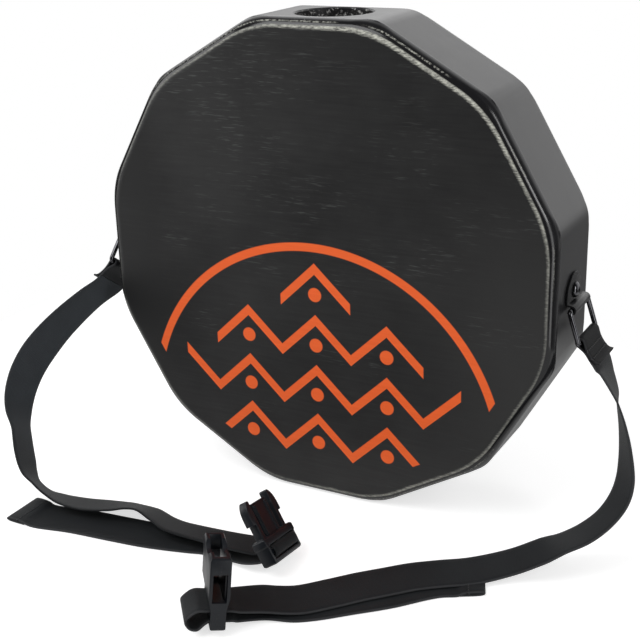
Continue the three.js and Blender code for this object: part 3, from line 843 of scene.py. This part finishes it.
# The right sewn end has the blacker copy of the webbing, a painted shade.
for hand, finish in (("right", shaded_sewn_webbing), ("left", webbing)):
    matrix = fold_place(hand)
    fold, _, fold_length = ribbon(f"sewn_end_{hand}", fold_rows(matrix), steps=4)
    dress(fold, f"ring_{hand}_body", finish, f"strap_fold_{hand}")
    sewn = seam(f"fold_stitches_{hand}", f"ring_{hand}_body", matrix,
                web_thickness + fold_pinch + thread / 4, fold_seams)

# %% [markdown]
# ## The drum's shell
# Twelve staves are mitred at 15 degrees, glued into a ring and planed flat; a plywood panel is
# glued on each face, and then the whole block is sanded and routed round. Here one whole block is
# sliced into panels, bored and split into staves, so its surface runs on smoothly over the joints.
#
# The corners between the flats are only eased along the staves, but sanding has rounded them much
# further at the rims. So an outline depends on its depth below the face: the rim's quarter round
# draws it in, and its corner radius grows from 34 mm to 88 mm on the way to the face.

# %% Outlines of the rounded block
half_depth = 44 * mm
stave_count = 12
stave_turn = 2 * pi / stave_count
stave_wall = 12 * mm
panel_thickness = 4 * mm
roundover = 10 * mm
corner_radius = 34 * mm
rim_corner_radius = 88 * mm
corner_facets = 9
rim_angles = (0, 5, 12, 20, 30, 41, 52, 64, 77, 90)


def outline(rim_angle):
    """Points round the drum where the rim's quarter round has turned this far from the flats."""
    turned = radians(rim_angle)
    apothem = half_flats - roundover * (1 - cos(turned))
    radius = corner_radius + (rim_corner_radius - corner_radius) * sqrt(sin(turned))
    to_centre = (apothem - radius) / cos(stave_turn / 2)
    points = []
    for i in range(stave_count):
        mitre = (i + 0.5) * stave_turn
        for j in range(corner_facets + 1):
            facing = (i + j / corner_facets) * stave_turn
            points.append((to_centre * sin(mitre) + radius * sin(facing),
                           to_centre * cos(mitre) + radius * cos(facing)))
    return points


def depth_at(rim_angle):
    return roundover * (1 - sin(radians(rim_angle)))


rim_rings = [(side * (half_depth - depth_at(angle)), outline(angle))
             for side, angles in ((-1, reversed(rim_angles)), (1, rim_angles)) for angle in angles]
print("rings:", len(rim_rings), "points in each:", len(rim_rings[0][1]))

# %% [markdown]
# The block grows from a sheet with many corners: its face is extruded again and again, and each
# time the new face's corners are set on the next outline. A face's corners are matched to the
# outline by their angle round the drum's axis.

# %% Rounded block
def round_axis(x, z):
    return atan2(x, z) % (2 * pi)


def set_ring(piece, ring):
    """Moves the selected face's corners on to one outline."""
    y, points = ring
    bpy.ops.object.mode_set(mode="OBJECT")
    free = [vertex for vertex in piece.data.vertices if vertex.select]
    free.sort(key=lambda vertex: round_axis(vertex.co.x, vertex.co.z))
    for vertex, (x, z) in zip(free, sorted(points, key=lambda point: round_axis(*point))):
        vertex.co = (x, y, z)
    bpy.ops.object.mode_set(mode="EDIT")


bpy.ops.mesh.primitive_circle_add(
    vertices=len(rim_rings[0][1]), radius=half_flats, fill_type="NGON", rotation=(pi / 2, 0, 0))
block = settle(name_piece("drum_block"))
with editing(block):
    bpy.ops.mesh.select_mode(type="FACE")
    bpy.ops.transform.rotate(value=stave_turn / 2 / corner_facets, orient_axis="Y")
    set_ring(block, rim_rings[0])
    for ring in rim_rings[1:]:
        bpy.ops.mesh.extrude_region_move()
        set_ring(block, ring)
    bpy.ops.mesh.select_all(action="SELECT")
    bpy.ops.mesh.normals_make_consistent(inside=False)
block.location = drum_centre
settle(block)
print("rounded block:", len(block.data.polygons), "faces")

# %% Panels
glue_joint = half_depth - panel_thickness


def panel(name, side):
    """The block's slice beyond a glue joint: side is -1 at the front and 1 at the back."""
    return smooth(slice_off(twin(block, name), (0, side * glue_joint, 0), (0, -side, 0)), 30)


front_face = panel("front_panel_shell", -1)
back_face = panel("back_panel_shell", 1)
print("panel faces:", len(front_face.data.polygons), len(back_face.data.polygons))

# %% [markdown]
# What is left between the panels is hollowed by a twelve-sided cutter and cut down to the stave on
# top. Each stave is a turned copy of that one; then the top one gets the sound port and the two
# side ones get the holes for the lug screws.

# %% One stave
def bore_cutter(apothem, depth):
    """A twelve-sided block round the drum's axis, with a flat on top."""
    bpy.ops.mesh.primitive_cylinder_add(
        vertices=stave_count, radius=apothem / cos(stave_turn / 2), depth=depth)
    cutter = name_piece("bore_cutter")
    cutter.matrix_world = (Matrix.Translation(drum_centre) @ Matrix.Rotation(stave_turn / 2, 4, "Y")
                           @ Matrix.Rotation(pi / 2, 4, "X"))
    return settle(cutter)


for side in (-1, 1):
    slice_off(block, (0, side * glue_joint, 0), (0, side, 0))
carve(block, bore_cutter(half_flats - stave_wall, 3 * half_depth))
for side in (-1, 1):
    slice_off(block, drum_centre, (side * cos(stave_turn / 2), 0, -sin(stave_turn / 2)))
print("one stave:", len(block.data.polygons), "faces")

# %% Staves
port_radius = 31 * mm
port_ease = 1.2 * mm
screw_hole = 6.6 * mm
named_staves = {0: "_top", 3: "_right", 6: "_bottom", 9: "_left"}


def sound_port_cutter():
    """A cutter as wide as the port, flared where the port's rim is eased."""
    bpy.ops.mesh.primitive_cylinder_add(vertices=96, radius=port_radius, depth=half_flats / 2)
    cutter = name_piece("port_cutter")
    cutter.location = (0, 0, 2 * half_flats - port_ease - half_flats / 4)
    settle(cutter)
    with editing(cutter, "DESELECT"):
        bpy.ops.mesh.select_mode(type="FACE")
    for face in cutter.data.polygons:
        face.select = face.normal.z > 0.9
    flare = 1 + port_ease / port_radius
    with editing(cutter, None):
        for grow in (flare, 1):
            bpy.ops.mesh.extrude_region_move(TRANSFORM_OT_translate={"value": (0, 0, port_ease)})
            bpy.ops.transform.resize(value=(grow, grow, 1))
    return cutter


def screw_cutter(side):
    """A cutter along the X axis, half-way up the flat of one side."""
    bpy.ops.mesh.primitive_cylinder_add(
        vertices=32, radius=screw_hole / 2, depth=4 * stave_wall, rotation=(0, pi / 2, 0))
    cutter = name_piece("screw_cutter")
    cutter.location = drum_centre + Vector((side * half_flats, 0, 0))
    return settle(cutter)


staves = {}
for i in range(stave_count):
    node = f"stave_{i + 1:02d}{named_staves.get(i, '')}"
    stave = twin(block, node + "_shell")
    turn = Matrix.Rotation(i * stave_turn, 4, "Y")
    stave.matrix_world = Matrix.Translation(drum_centre) @ turn @ Matrix.Translation(-drum_centre)
    settle(stave)
    if node.endswith("top"):
        carve(stave, sound_port_cutter())
    if node.endswith(("right", "left")):
        carve(stave, screw_cutter(1 if node.endswith("right") else -1))
    smooth(stave, 30)
    staves[node] = modify(stave, "WEIGHTED_NORMAL", keep_sharp=True)
bpy.data.objects.remove(block)
print("staves:", len(staves))

# %% [markdown]
# ## Finding a place on the drum
# Several finishes depend on where a point lies on the twelve-sided block: how far in from its
# outline, and how deep below the nearer face. Folding the angle round the axis into one flat's half
# sector gives both from the object's own coordinates, so the pattern needs no UV map.

# %% Rim group
def rim_group():
    tree, (spot, rim_radius) = new_group(
        "drum rim", {"Place": None, "Rim radius": 95 * mm}, ("Inset", "Depth", "Out"))
    x, y, z = separate(vector_maths("SUBTRACT", spot, drum_centre))
    folded = maths("PINGPONG", maths("ARCTAN2", x, z), stave_turn / 2)
    radius = distance(x, z)
    out = radius * maths("COSINE", folded)
    corner = half_flats - rim_radius
    past_out = larger(out - corner, 0)
    past_along = larger(radius * maths("SINE", folded) - corner * tan(stave_turn / 2), 0)
    inset = rim_radius - distance(past_out, past_along)
    return end_group(tree, {"Inset": inset, "Depth": half_depth - abs(y), "Out": out})


drum_rim = rim_group()
print("rim group ready")

# %% [markdown]
# ## Printed bands
# The struck face carries a screen print in orange. This one is a plain geometric border of the
# traditional kind: zigzag bands with a dot under each peak, beneath one wide arch. Every line is a
# distance compared with a stroke, so its edge stays sharp at any size. A band ends on the last
# peak or trough that fits on the face and under the arch, and a dot that wouldn't fit is left out.

# %% Print sizes
stroke = 7 * mm
zigzag_period = 64 * mm
zigzag_rise = 30 * mm
band_pitch = 44 * mm
band_count = 4
dot_radius = 6 * mm
arch_height = 58 * mm
arch_radius = 166 * mm
arch_foot = 84 * mm
field_radius = arch_radius - 2.2 * stroke
dot_field_radius = field_radius - 2.2 * dot_radius
print_floor = 36 * mm
print_margin = 12 * mm
print_inset = 22 * mm
ink_edge = 0.35 * mm


def inside(value, limit):
    """One where value is under limit, with a soft edge as wide as ink spreads."""
    return ramp(limit - value, -ink_edge, ink_edge)


print("bands:", band_count, "at a pitch of", band_pitch)

# %% Print group
def print_group():
    tree, (spot, inset) = new_group("zigzag print", {"Place": None, "Inset": 0.0}, ("Ink",))
    x, _, z = separate(spot)
    half_period = zigzag_period / 2
    side = maths("PINGPONG", x, half_period)
    slope = zigzag_rise / half_period
    zig_half = stroke / 2 * sqrt(1 + slope ** 2)
    peak_level = print_floor + zig_half + zigzag_rise

    above_line = z - (peak_level - zig_half) + side * slope
    band = maths("FLOOR", above_line / band_pitch)
    level = band * band_pitch + (peak_level - arch_height)
    from_centre = level + (arch_height - zigzag_rise / 2 - drum_centre.z)
    under_arch = field_radius ** 2 - level ** 2
    on_face = (half_flats - print_margin) ** 2 - from_centre ** 2
    reach = maths("SQRT", larger(maths("MINIMUM", under_arch, on_face), 0))
    whole = maths("FLOOR", reach / half_period) * half_period
    zig = inside(abs(above_line % band_pitch - zig_half), zig_half)
    zig = zig * (above_line > 0) * (band < band_count - 0.5) * inside(abs(x), whole)

    first_dot = peak_level - band_pitch / 2
    row = maths("ROUND", (z - first_dot) / band_pitch)
    dot_level = row * band_pitch + first_dot
    dot_across = maths("SNAP", x + half_period, zigzag_period)
    fits = distance(dot_across, dot_level - arch_height) < dot_field_radius
    fits = fits * (abs(dot_across) < 1.5 * zigzag_period) * (row > -0.5)
    dot = inside(distance(side, z - dot_level), dot_radius) * fits

    off_line = abs(distance(x, z - arch_height) - (arch_radius - stroke / 2))
    arch = inside(off_line, stroke / 2) * inside(arch_foot, z)
    clear = inside(print_floor, z) * inside(print_inset, inset)
    return end_group(tree, {"Ink": larger(larger(zig, dot), arch) * clear})


zigzag_print = print_group()
print("print group ready")

# %% [markdown]
# ## Finishes of the shell
# Outside the shell is sprayed with black lacquer. On the faces the lacquer was rubbed back along
# the rim until the plywood showed, and inside that the face has a thin black stain that lets a few
# streaks of grain through. Inside the drum everything is bare wood. Bare spots, chips and flecks
# are where a noise goes over a limit.

# %% Lacquer and bare wood
lacquer_black = (0.0105, 0.0105, 0.0115, 1)
lacquer_dusty = (0.014, 0.014, 0.0155, 1)
torn_fibres = (0.46, 0.46, 0.45, 1)
raw_dark = (0.30, 0.17, 0.075, 1)
raw_pale = (0.56, 0.38, 0.20, 1)
spray_reach = 0.4 * mm
chip_band = 0.5 * mm
coat_relief = 0.3 * mm


def spots(spot, scale, low, high, detail=4.0, roughness=0.5):
    return ramp(noise(spot, scale, detail, roughness), low, high)


def grain_group():
    tree, (spot,) = new_group("wood grain", {"Place": None}, ("Tone", "Grain"))
    grain = noise(spot, (30, 160, 500), 6, 0.6)
    rings = noise(spot, (4, 18, 40), 3)
    return end_group(tree, {"Tone": ramp(grain * 0.65 + rings * 0.35, 0.35, 0.65), "Grain": grain})


wood_grain = grain_group()


def raw_wood(spot):
    grain = use_group(wood_grain, Place=spot)
    return blend_colours(grain["Tone"], raw_dark, raw_pale), grain["Grain"]


def lacquer_material():
    made = new_material("black lacquer", (0.02, 0.02, 0.022, 1))
    spot = object_place(made)
    rim = use_group(drum_rim, Place=spot)
    wood, grain = raw_wood(spot)
    x, y, _ = separate(spot)
    inner_wall = half_flats - stave_wall
    indoors = ramp(rim["Out"], inner_wall + 2 * spray_reach, inner_wall + spray_reach)

    port_edge = inside(distance(x, y), port_radius + chip_band)
    on_rim = ramp(rim["Depth"], 0.85 * roundover, 0.7 * roundover)
    knocked = spots(spot, 9, 0.60, 0.66, 2)
    chipped = spots(spot, 300, 0.62, 0.66, 3, 0.7)
    torn = larger(port_edge * spots(spot, 420, 0.55, 0.63, 4, 0.7), on_rim * knocked * chipped)

    dust = noise(spot, 60)
    black = blend_colours(ramp(dust, 0.4, 0.7), lacquer_black, lacquer_dusty)
    colour = blend_colours(indoors, blend_colours(torn, black, torn_fibres), wood)
    satin = ramp(rim["Depth"], 0.6 * roundover, 1.2 * roundover, 0.12, 0.28)
    rough = larger(dust * 0.08 + satin, larger(indoors, torn) * 0.75)
    orange_peel = noise(spot, 260, 2)
    height = orange_peel * 0.05 + larger(torn, indoors * grain) * 2
    inputs = {"Base Color": colour, "Roughness": rough, "Specular IOR Level": 0.56}
    return end_material(made, inputs, height, 0.12, coat_relief)


lacquer = lacquer_material()
for node, stave in staves.items():
    dress(stave, "drum", lacquer, node)
print("staves lacquered")

# %% [markdown]
# The ring where the plywood shows is widest and brightest at the upper right, where the sander
# leaned hardest, and its inner edge is frayed along the grain. It is bright again underneath, where
# the drum stands, and nearly spared on the left. A second, broken line follows the glue joint
# between panel and staves.

# %% Rubbed ring
ring_outer = 5.4 * mm
ring_inner = 7.0 * mm
ring_spread = 1.4 * mm
fray = 3.4 * mm
wandering = 3 * mm
outer_edge = (ring_outer - 0.5 * mm, ring_outer + 0.4 * mm)
inner_edge = (-0.8 * mm, 1.1 * mm)
joint_line_depth = panel_thickness - 0.7 * mm
joint_line_edge = (0.7 * mm, 0.3 * mm)
leaning = Vector((0.45, 0, 0.89))
standing = Vector((0.5, 0, -0.87))
spared_side = Vector((-0.99, 0, -0.08))


def ring_group():
    """Where the wood is bare, and how brightly it was rubbed there."""
    tree, (spot, inset) = new_group(
        "rubbed ring", {"Place": None, "Inset": 0.0}, ("Sanded", "Bright"))
    centred = vector_maths("SUBTRACT", spot, drum_centre)
    lean, stand, spare = (vector_maths("DOT_PRODUCT", centred, direction / half_flats, "Value")
                          for direction in (leaning, standing, spared_side))
    bright = larger(ramp(lean, 0.36, 0.92), ramp(stand, 0.72, 0.92) * 0.55)
    inner = ((noise(spot, (130, 130, 1500), 4, 0.65) - 0.5) * fray
             + (noise(spot, 14, 2) - 0.5) * wandering
             + ramp(lean, 0.80, 0.95) * ring_spread + ring_inner)
    sanded = ramp(inset, *outer_edge) * ramp(inner - inset, *inner_edge)
    sanded = sanded * (1 - ramp(spare, 0.80, 0.93) * 0.8)
    return end_group(tree, {"Sanded": sanded, "Bright": bright})


def joint_group():
    tree, (spot, depth) = new_group("joint line", {"Place": None, "Depth": 0.0}, ("Line",))
    broken = spots(spot, 16, 0.46, 0.54, 3)
    fine = spots(spot, 520, 0.42, 0.60, 3, 0.7)
    near = ramp(abs(depth - joint_line_depth), *joint_line_edge)
    return end_group(tree, {"Line": near * broken * fine})


rubbed_ring, joint_line = ring_group(), joint_group()
print("ring from", ring_outer, "to", ring_inner, "m inside the outline")

# %% [markdown]
# Inside the ring the black stain is cloudy: broad, faint patches, and short pale flecks along the
# grain that gather towards the top and most of all in a worn patch at the upper left. The far left
# is painted darker, a painted shade, and has fewer flecks; the lower right is painted a little paler,
# a painted sheen.

# %% Stained face
patch_place = (-80 * mm, 325 * mm)
patch_reach = (105 * mm, 20 * mm)
# Where the far left is painted darker, as painted shade:
painted_shade_side = (-105 * mm, -160 * mm)
painted_shade_height = (345 * mm, 300 * mm)
# Where the lower right is painted paler, as painted sheen:
painted_sheen_side = (70 * mm, 165 * mm)
painted_sheen_height = (330 * mm, 210 * mm)
fleck_height = 260 * mm
stain_black = (0.0088, 0.0088, 0.0091, 1)
stain_grey = (0.0235, 0.0237, 0.0237, 1)
# The paler grey of the painted sheen:
painted_sheen_grey = (0.029, 0.029, 0.0286, 1)
fleck_grey = (0.085, 0.088, 0.086, 1)


def stain_group():
    tree, (spot,) = new_group(
        "cloudy stain", {"Place": None}, ("Tone", "Painted sheen", "Flecks", "Grain"))
    x, _, z = separate(spot)
    patch = ramp(distance(x - patch_place[0], z - patch_place[1]), *patch_reach)
    # Painted shade on the far left, and painted sheen on the lower right:
    plain = ramp(x, *painted_shade_side) * ramp(z, *painted_shade_height)
    painted_sheen_mask = ramp(x, *painted_sheen_side) * ramp(z, *painted_sheen_height)
    grain = noise(spot, (26, 200, 420), 4, 0.6)
    # The tone is darkened on the far left: painted shade.
    tone_and_painted_light = grain * 0.35 + noise(spot, 11, 5, 0.6) * 0.65 + patch * 0.10 - plain * 0.22
    gathered = noise(spot, (13, 20, 26), 2) + (z - fleck_height) * 0.6
    gathered = ramp(gathered + patch * 0.10 - plain * 0.2, 0.47, 0.63)
    flecks = spots(spot, (75, 600, 900), 0.58, 0.72, 2) * gathered
    return end_group(tree, {"Tone": ramp(tone_and_painted_light, 0.36, 0.66), "Painted sheen": painted_sheen_mask * 0.8,
                            "Flecks": flecks * 0.6, "Grain": grain})


cloudy_stain = stain_group()


def stained_face(spot):
    stain = use_group(cloudy_stain, Place=spot)
    colour = blend_colours(stain["Tone"], stain_black, stain_grey)
    # Painted sheen: the lower right is blended towards a paler grey.
    colour = blend_colours(stain["Painted sheen"], colour, painted_sheen_grey)
    return blend_colours(stain["Flecks"], colour, fleck_grey), stain["Grain"]


print("worn patch at", patch_place)

# %% Panel finishes
ply_dark = (0.090, 0.090, 0.084, 1)
ply_pale = (0.74, 0.74, 0.65, 1)
ink_deep = (0.85, 0.110, 0.016, 1)
ink_bright = (0.98, 0.156, 0.028, 1)
stain_edge = (4 * mm, 6 * mm)
glue_edge = (panel_thickness - 0.15 * mm, panel_thickness - 0.05 * mm)


def panel_material(name, printed):
    made = new_material(name, (0.03, 0.03, 0.031, 1))
    spot = object_place(made)
    rim = use_group(drum_rim, Place=spot)
    sanded, bright = use_group(rubbed_ring, Place=spot, Inset=rim["Inset"]).values()
    line = use_group(joint_line, Place=spot, Depth=rim["Depth"])["Line"]
    streaks = noise(spot, (240, 500, 900), 5, 0.75)
    ply = blend_colours(ramp(streaks, 0.36, 0.66) * (bright * 0.66 + 0.26), ply_dark, ply_pale)
    face, grain = stained_face(spot)
    if printed:
        ink = use_group(zigzag_print, Place=spot, Inset=rim["Inset"])["Ink"]
        face = blend_colours(ink, face, blend_colours(grain, ink_deep, ink_bright))
    glossy = ramp(rim["Inset"], ring_inner, ring_outer)
    face = blend_colours(glossy, face, lacquer_black)
    face = blend_colours(larger(sanded, line), face, ply)
    bare = ramp(rim["Depth"], *glue_edge) * ramp(rim["Inset"], *stain_edge)
    colour = blend_colours(bare, face, raw_wood(spot)[0])

    matt = larger(larger(sanded, bare), line)
    rough = larger(ramp(glossy, 0, 1, 0.5, 0.14), matt * 0.72)
    height = grain * (1 - glossy) + matt * streaks * 1.5
    inputs = {"Base Color": colour, "Roughness": rough, "Specular IOR Level": 0.4}
    return end_material(made, inputs, height, 0.14, coat_relief)


dress(front_face, "drum", panel_material("printed front", True), "front_panel")
dress(back_face, "drum", panel_material("plain back", False), "back_panel")
print("panels finished")

# %% [markdown]
# ## Pressed, turned and moulded pieces
# A steel or nylon piece never has a knife-sharp edge: pressing, turning or moulding leaves a small
# round that catches the light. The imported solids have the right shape, so each is copied, its loose
# triangles are merged, and its hard edges get a fine bevel.
#
# The lugs are painted steel with a satin shine. The rings and screws are plated in black nickel,
# which is nearly black where it mirrors the dark room and white where it mirrors the backdrop.

# %% Eased copies
def eased(node, name, width, finish, segments=2, corner=35):
    """A node's copy in its finish, eased at edges that turn by more than the corner's degrees."""
    piece = twin(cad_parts[node], name)
    with editing(piece):
        bpy.ops.mesh.remove_doubles(threshold=0.01 * mm)
        bpy.ops.mesh.dissolve_limited(angle_limit=radians(1))
    modify(piece, "BEVEL", width=width, segments=segments, limit_method="ANGLE",
           angle_limit=radians(corner), use_clamp_overlap=True, harden_normals=False)
    print(name, "has", len(piece.data.polygons), "faces")
    return dress(smooth(piece, 40), "drum", finish, node)


# %% Metal and nylon finishes
steel_relief = 0.1 * mm
nylon_relief = 0.12 * mm
nylon_scuffed = (0.06, 0.062, 0.065, 1)


def wear_group():
    tree, (spot, amount) = new_group(
        "rubbed marks", {"Place": None, "Amount": 0.5}, ("Mask", "Grime"))
    broad = noise(spot, 70, 3)
    mask = ramp(noise(spot, 420, 5, 0.65) * (broad + amount), 0.62, 0.74)
    return end_group(tree, {"Mask": mask, "Grime": broad})


rubbed = wear_group()


def steel_material(name, dark, light, metallic, roughness, amount, gloss=0.5):
    made = new_material(name, dark)
    spot = object_place(made)
    marks = use_group(rubbed, Place=spot, Amount=amount)
    worn = tuple(min(1.0, 2.2 * part) for part in light[:3]) + (1,)
    colour = blend_colours(marks["Grime"], dark, light)
    colour = blend_colours(marks["Mask"] * 0.5, colour, worn)
    inputs = {"Base Color": colour, "Roughness": marks["Grime"] * 0.15 + roughness,
              "Metallic": metallic, "Specular IOR Level": gloss}
    return end_material(made, inputs, noise(spot, 2600, 2), 0.06, steel_relief)


def nylon_material():
    made = new_material("moulded nylon", (0.02, 0.02, 0.021, 1))
    spot = object_place(made)
    marks = use_group(rubbed, Place=spot, Amount=0.4)
    spark = noise(spot, 1500, 2)
    colour = blend_colours(spark, (0.0042, 0.0054, 0.0080, 1), (0.0098, 0.0120, 0.0158, 1))
    colour = blend_colours(marks["Mask"] * 0.35, colour, nylon_scuffed)
    inputs = {"Base Color": colour, "Roughness": marks["Grime"] * 0.14 + 0.28,
              "Specular IOR Level": 0.4}
    return end_material(made, inputs, spark, 0.14, nylon_relief)


black_steel = steel_material(
    "black steel", (0.005, 0.005, 0.006, 1), (0.012, 0.012, 0.013, 1), 0.1, 0.2, 0.45, gloss=0.33)
black_nickel = steel_material(
    "black nickel", (0.085, 0.085, 0.092, 1), (0.13, 0.13, 0.138, 1), 1.0, 0.05, 0.3)
zinc = steel_material(
    "bright zinc", (0.42, 0.43, 0.45, 1), (0.60, 0.61, 0.62, 1), 1.0, 0.26, 0.3)
nylon = nylon_material()
print("metal and nylon ready")

# %% Lugs, screws and nuts
hardware = (
    ("lug", "lug_plate", 0.3 * mm, black_steel, 35),
    ("lug_screw", "lug_bolt", 0.25 * mm, black_nickel, 45),
    ("lug_washer", "washer", 0.2 * mm, zinc, 45),
    ("lug_nut", "nut", 0.4 * mm, zinc, 45),
)
for hand in hangings:
    for kind, name, width, finish, corner in hardware:
        eased(f"{kind}_{hand}", f"{name}_{hand}", width, finish, corner=corner)

# %% [markdown]
# A strap ring is a length of round wire bent at four corners and butt-welded. It is made the same
# way: a round section is drawn along each leg by an extrusion and turned through each corner by a
# spin, and the last section meets the first.

# %% Rings
ring_half_span = 22 * mm
ring_corner = 3 * mm
wire_sides = 20


def wire_ring(name):
    """The ring in its own directions: its upper bar on the x axis, its legs down."""
    start = Vector((ring_half_span - ring_corner, 0, 0))
    bpy.ops.mesh.primitive_circle_add(vertices=wire_sides, radius=wire / 2, location=start,
                                      rotation=(0, pi / 2, 0))
    ring = settle(name_piece(name))
    centre = start - Vector((0, 0, ring_corner))
    heading = Vector((1, 0, 0))
    legs = (ring_drop - 2 * ring_corner, 2 * (ring_half_span - ring_corner)) * 2
    with editing(ring):
        for leg in legs:
            bpy.ops.mesh.spin(steps=6, angle=-pi / 2, center=centre, axis=(0, 1, 0))
            heading = Vector((heading.z, 0, -heading.x))
            bpy.ops.mesh.extrude_region_move(TRANSFORM_OT_translate={"value": heading * leg})
            centre = centre + heading * leg
        bpy.ops.mesh.select_all(action="SELECT")
        bpy.ops.mesh.remove_doubles(threshold=0.02 * mm)
        bpy.ops.mesh.normals_make_consistent(inside=False)
    return smooth(ring, 60)


for hand, (_, _, tilt) in hangings.items():
    ring = wire_ring(f"ring_wire_{hand}")
    in_curl = lug_place(hand) @ Matrix.Translation((lug_bar_stand_off, 0, -lug_bar_drop))
    tilted = Matrix.Rotation(-tilt, 4, "Y") @ Matrix.Rotation(pi / 2, 4, "Z")
    ring.matrix_world = in_curl @ tilted
    dress(settle(ring), f"ring_{hand}_body", black_nickel, f"ring_{hand}")
    low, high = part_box(f"ring_{hand}")
    print(hand, "ring and its node:", round(ring.dimensions.z, 4), round(high[2] - low[2], 4))

# %% [markdown]
# The buckle's two halves are moulded in one go each, so their edges are rounder than the metal's.

# %% Buckle halves
eased("buckle_socket", "socket_half", 0.6 * mm, nylon, segments=3)
eased("buckle_prongs", "prong_half", 0.8 * mm, nylon, segments=3)

# %% [markdown]
# The snares hide in the drum: a batten of bare pine, and a comb of wires that buzzes on the panel.

# %% Snares
def rail_material():
    made = new_material("bare pine", (0.45, 0.32, 0.18, 1))
    colour, grain = raw_wood(object_place(made))
    return end_material(made, {"Base Color": colour, "Roughness": 0.75}, grain, 0.3, coat_relief)


eased("snare_rail", "snare_batten", 0.6 * mm, rail_material())
eased("snare_comb", "snare_wires", 0.15 * mm, zinc, segments=1, corner=60)

# %% [markdown]
# ## Floor, walls of light and background
# A sheet of white paper under a big soft box. The background is white by what the camera and
# reflections see of the world; the light on the drum itself stays at a plain level. Gloss lacquer
# shows the room round it, so reflections see this background only where it stands, behind the
# drum and above its horizon, and brightest on its left. The room at the photographer's back is
# dark, as a studio is, but for two upright tubes that give the metal and lacquer their fine lines.

# %% Floor
floor_middle = (0, -0.03, 0)
floor_size = (1.1, 0.84, 1)
paper_white = (0.62, 0.62, 0.62, 1)
paper_glow = 0.66
paper_mirrored = 0.2


def light_path(tree):
    """Three kinds of ray: straight from the camera or through glass, mirrored, and scattered."""
    seen = named_outputs(place("ShaderNodeLightPath", {}, tree))
    straight = larger(seen["Is Camera Ray"], seen["Is Transmission Ray"])
    return straight, seen["Is Glossy Ray"], seen["Is Diffuse Ray"]


bpy.ops.mesh.primitive_plane_add(size=1, location=floor_middle)
floor = name_piece("floor")
floor.scale = floor_size
settle(floor)
floor_paper = new_material("white paper", (1, 1, 1, 1))
straight, mirrored, _ = light_path(floor_paper.node_tree)
fill(floor_paper.node_tree.nodes["Principled BSDF"], {
    "Base Color": paper_white, "Roughness": 0.9, "Emission Color": (1, 1, 1, 1),
    "Emission Strength": larger(straight, mirrored * paper_mirrored) * paper_glow})
floor.data.materials.append(floor_paper)
print("floor of", floor_size[0], "by", floor_size[1], "m")

# %% World
backdrop_glow = 0.82
backdrop_left_glow = 0.55
backdrop_left = (0.1, -0.4)
backdrop_behind = (0.2, 0.6)
horizon = (-0.02, 0.05)
horizon_tilt = 0.25
haze = 0.17
room_glow = 0.05
scattered_light = 0.55
tube_azimuth = radians(66)
tube_width = (radians(10), radians(7))
tube_height = (0.5, 0.4)
tube_glow = 3

world = bpy.data.worlds.new("studio")
scene.world = world
world.use_nodes = True
straight, mirrored, scattered = light_path(world.node_tree)
x, y, z = separate(outcome("Generated", "ShaderNodeTexCoord", {}, world.node_tree))
backdrop = ramp(x, *backdrop_left) * backdrop_left_glow + backdrop_glow
above = ramp(x * horizon_tilt + z, *horizon) * backdrop
azimuth = abs(maths("ARCTAN2", x, y * -1))
tube = ramp(abs(azimuth - tube_azimuth), *tube_width) * ramp(abs(z), *tube_height)
reflected = ramp(y, *backdrop_behind) * (above + haze) + room_glow + tube * tube_glow
strength = larger(larger(straight, mirrored * reflected), scattered * scattered_light)
fill(world.node_tree.nodes["Background"], {"Color": (1, 1, 1, 1), "Strength": strength})
print("tubes at", tube_azimuth, "rad from the photographer's side")

# %% [markdown]
# Three soft boxes light the drum: a big one in front, above and to the left, one on the right that
# is mostly there for its reflections, and a weak one low on the left.

# %% Lamps
def soft_box(name, stand, look_at, size, power, scattered=1.0):
    light = bpy.data.lights.new(name, "AREA")
    light.shape = "RECTANGLE"
    light.size, light.size_y = size
    light.energy = power
    light.diffuse_factor = scattered
    box = add_object(name, light)
    box.location = stand
    box.rotation_euler = (Vector(look_at) - Vector(stand)).to_track_quat("-Z", "Y").to_euler()


soft_box("key light", (-0.9, -1.4, 2.0), (0, 0, 0.2), (1.6, 1.2), 26)
soft_box("side light", (1.9, -0.75, 1.3), (0.1, 0, 0.2), (0.5, 1.2), 10, scattered=0.25)
soft_box("left light", (-1.7, -0.3, 0.8), (0, 0, 0.2), (0.4, 1.0), 3)
scene.view_settings.view_transform = "Standard"
print("stage ready")
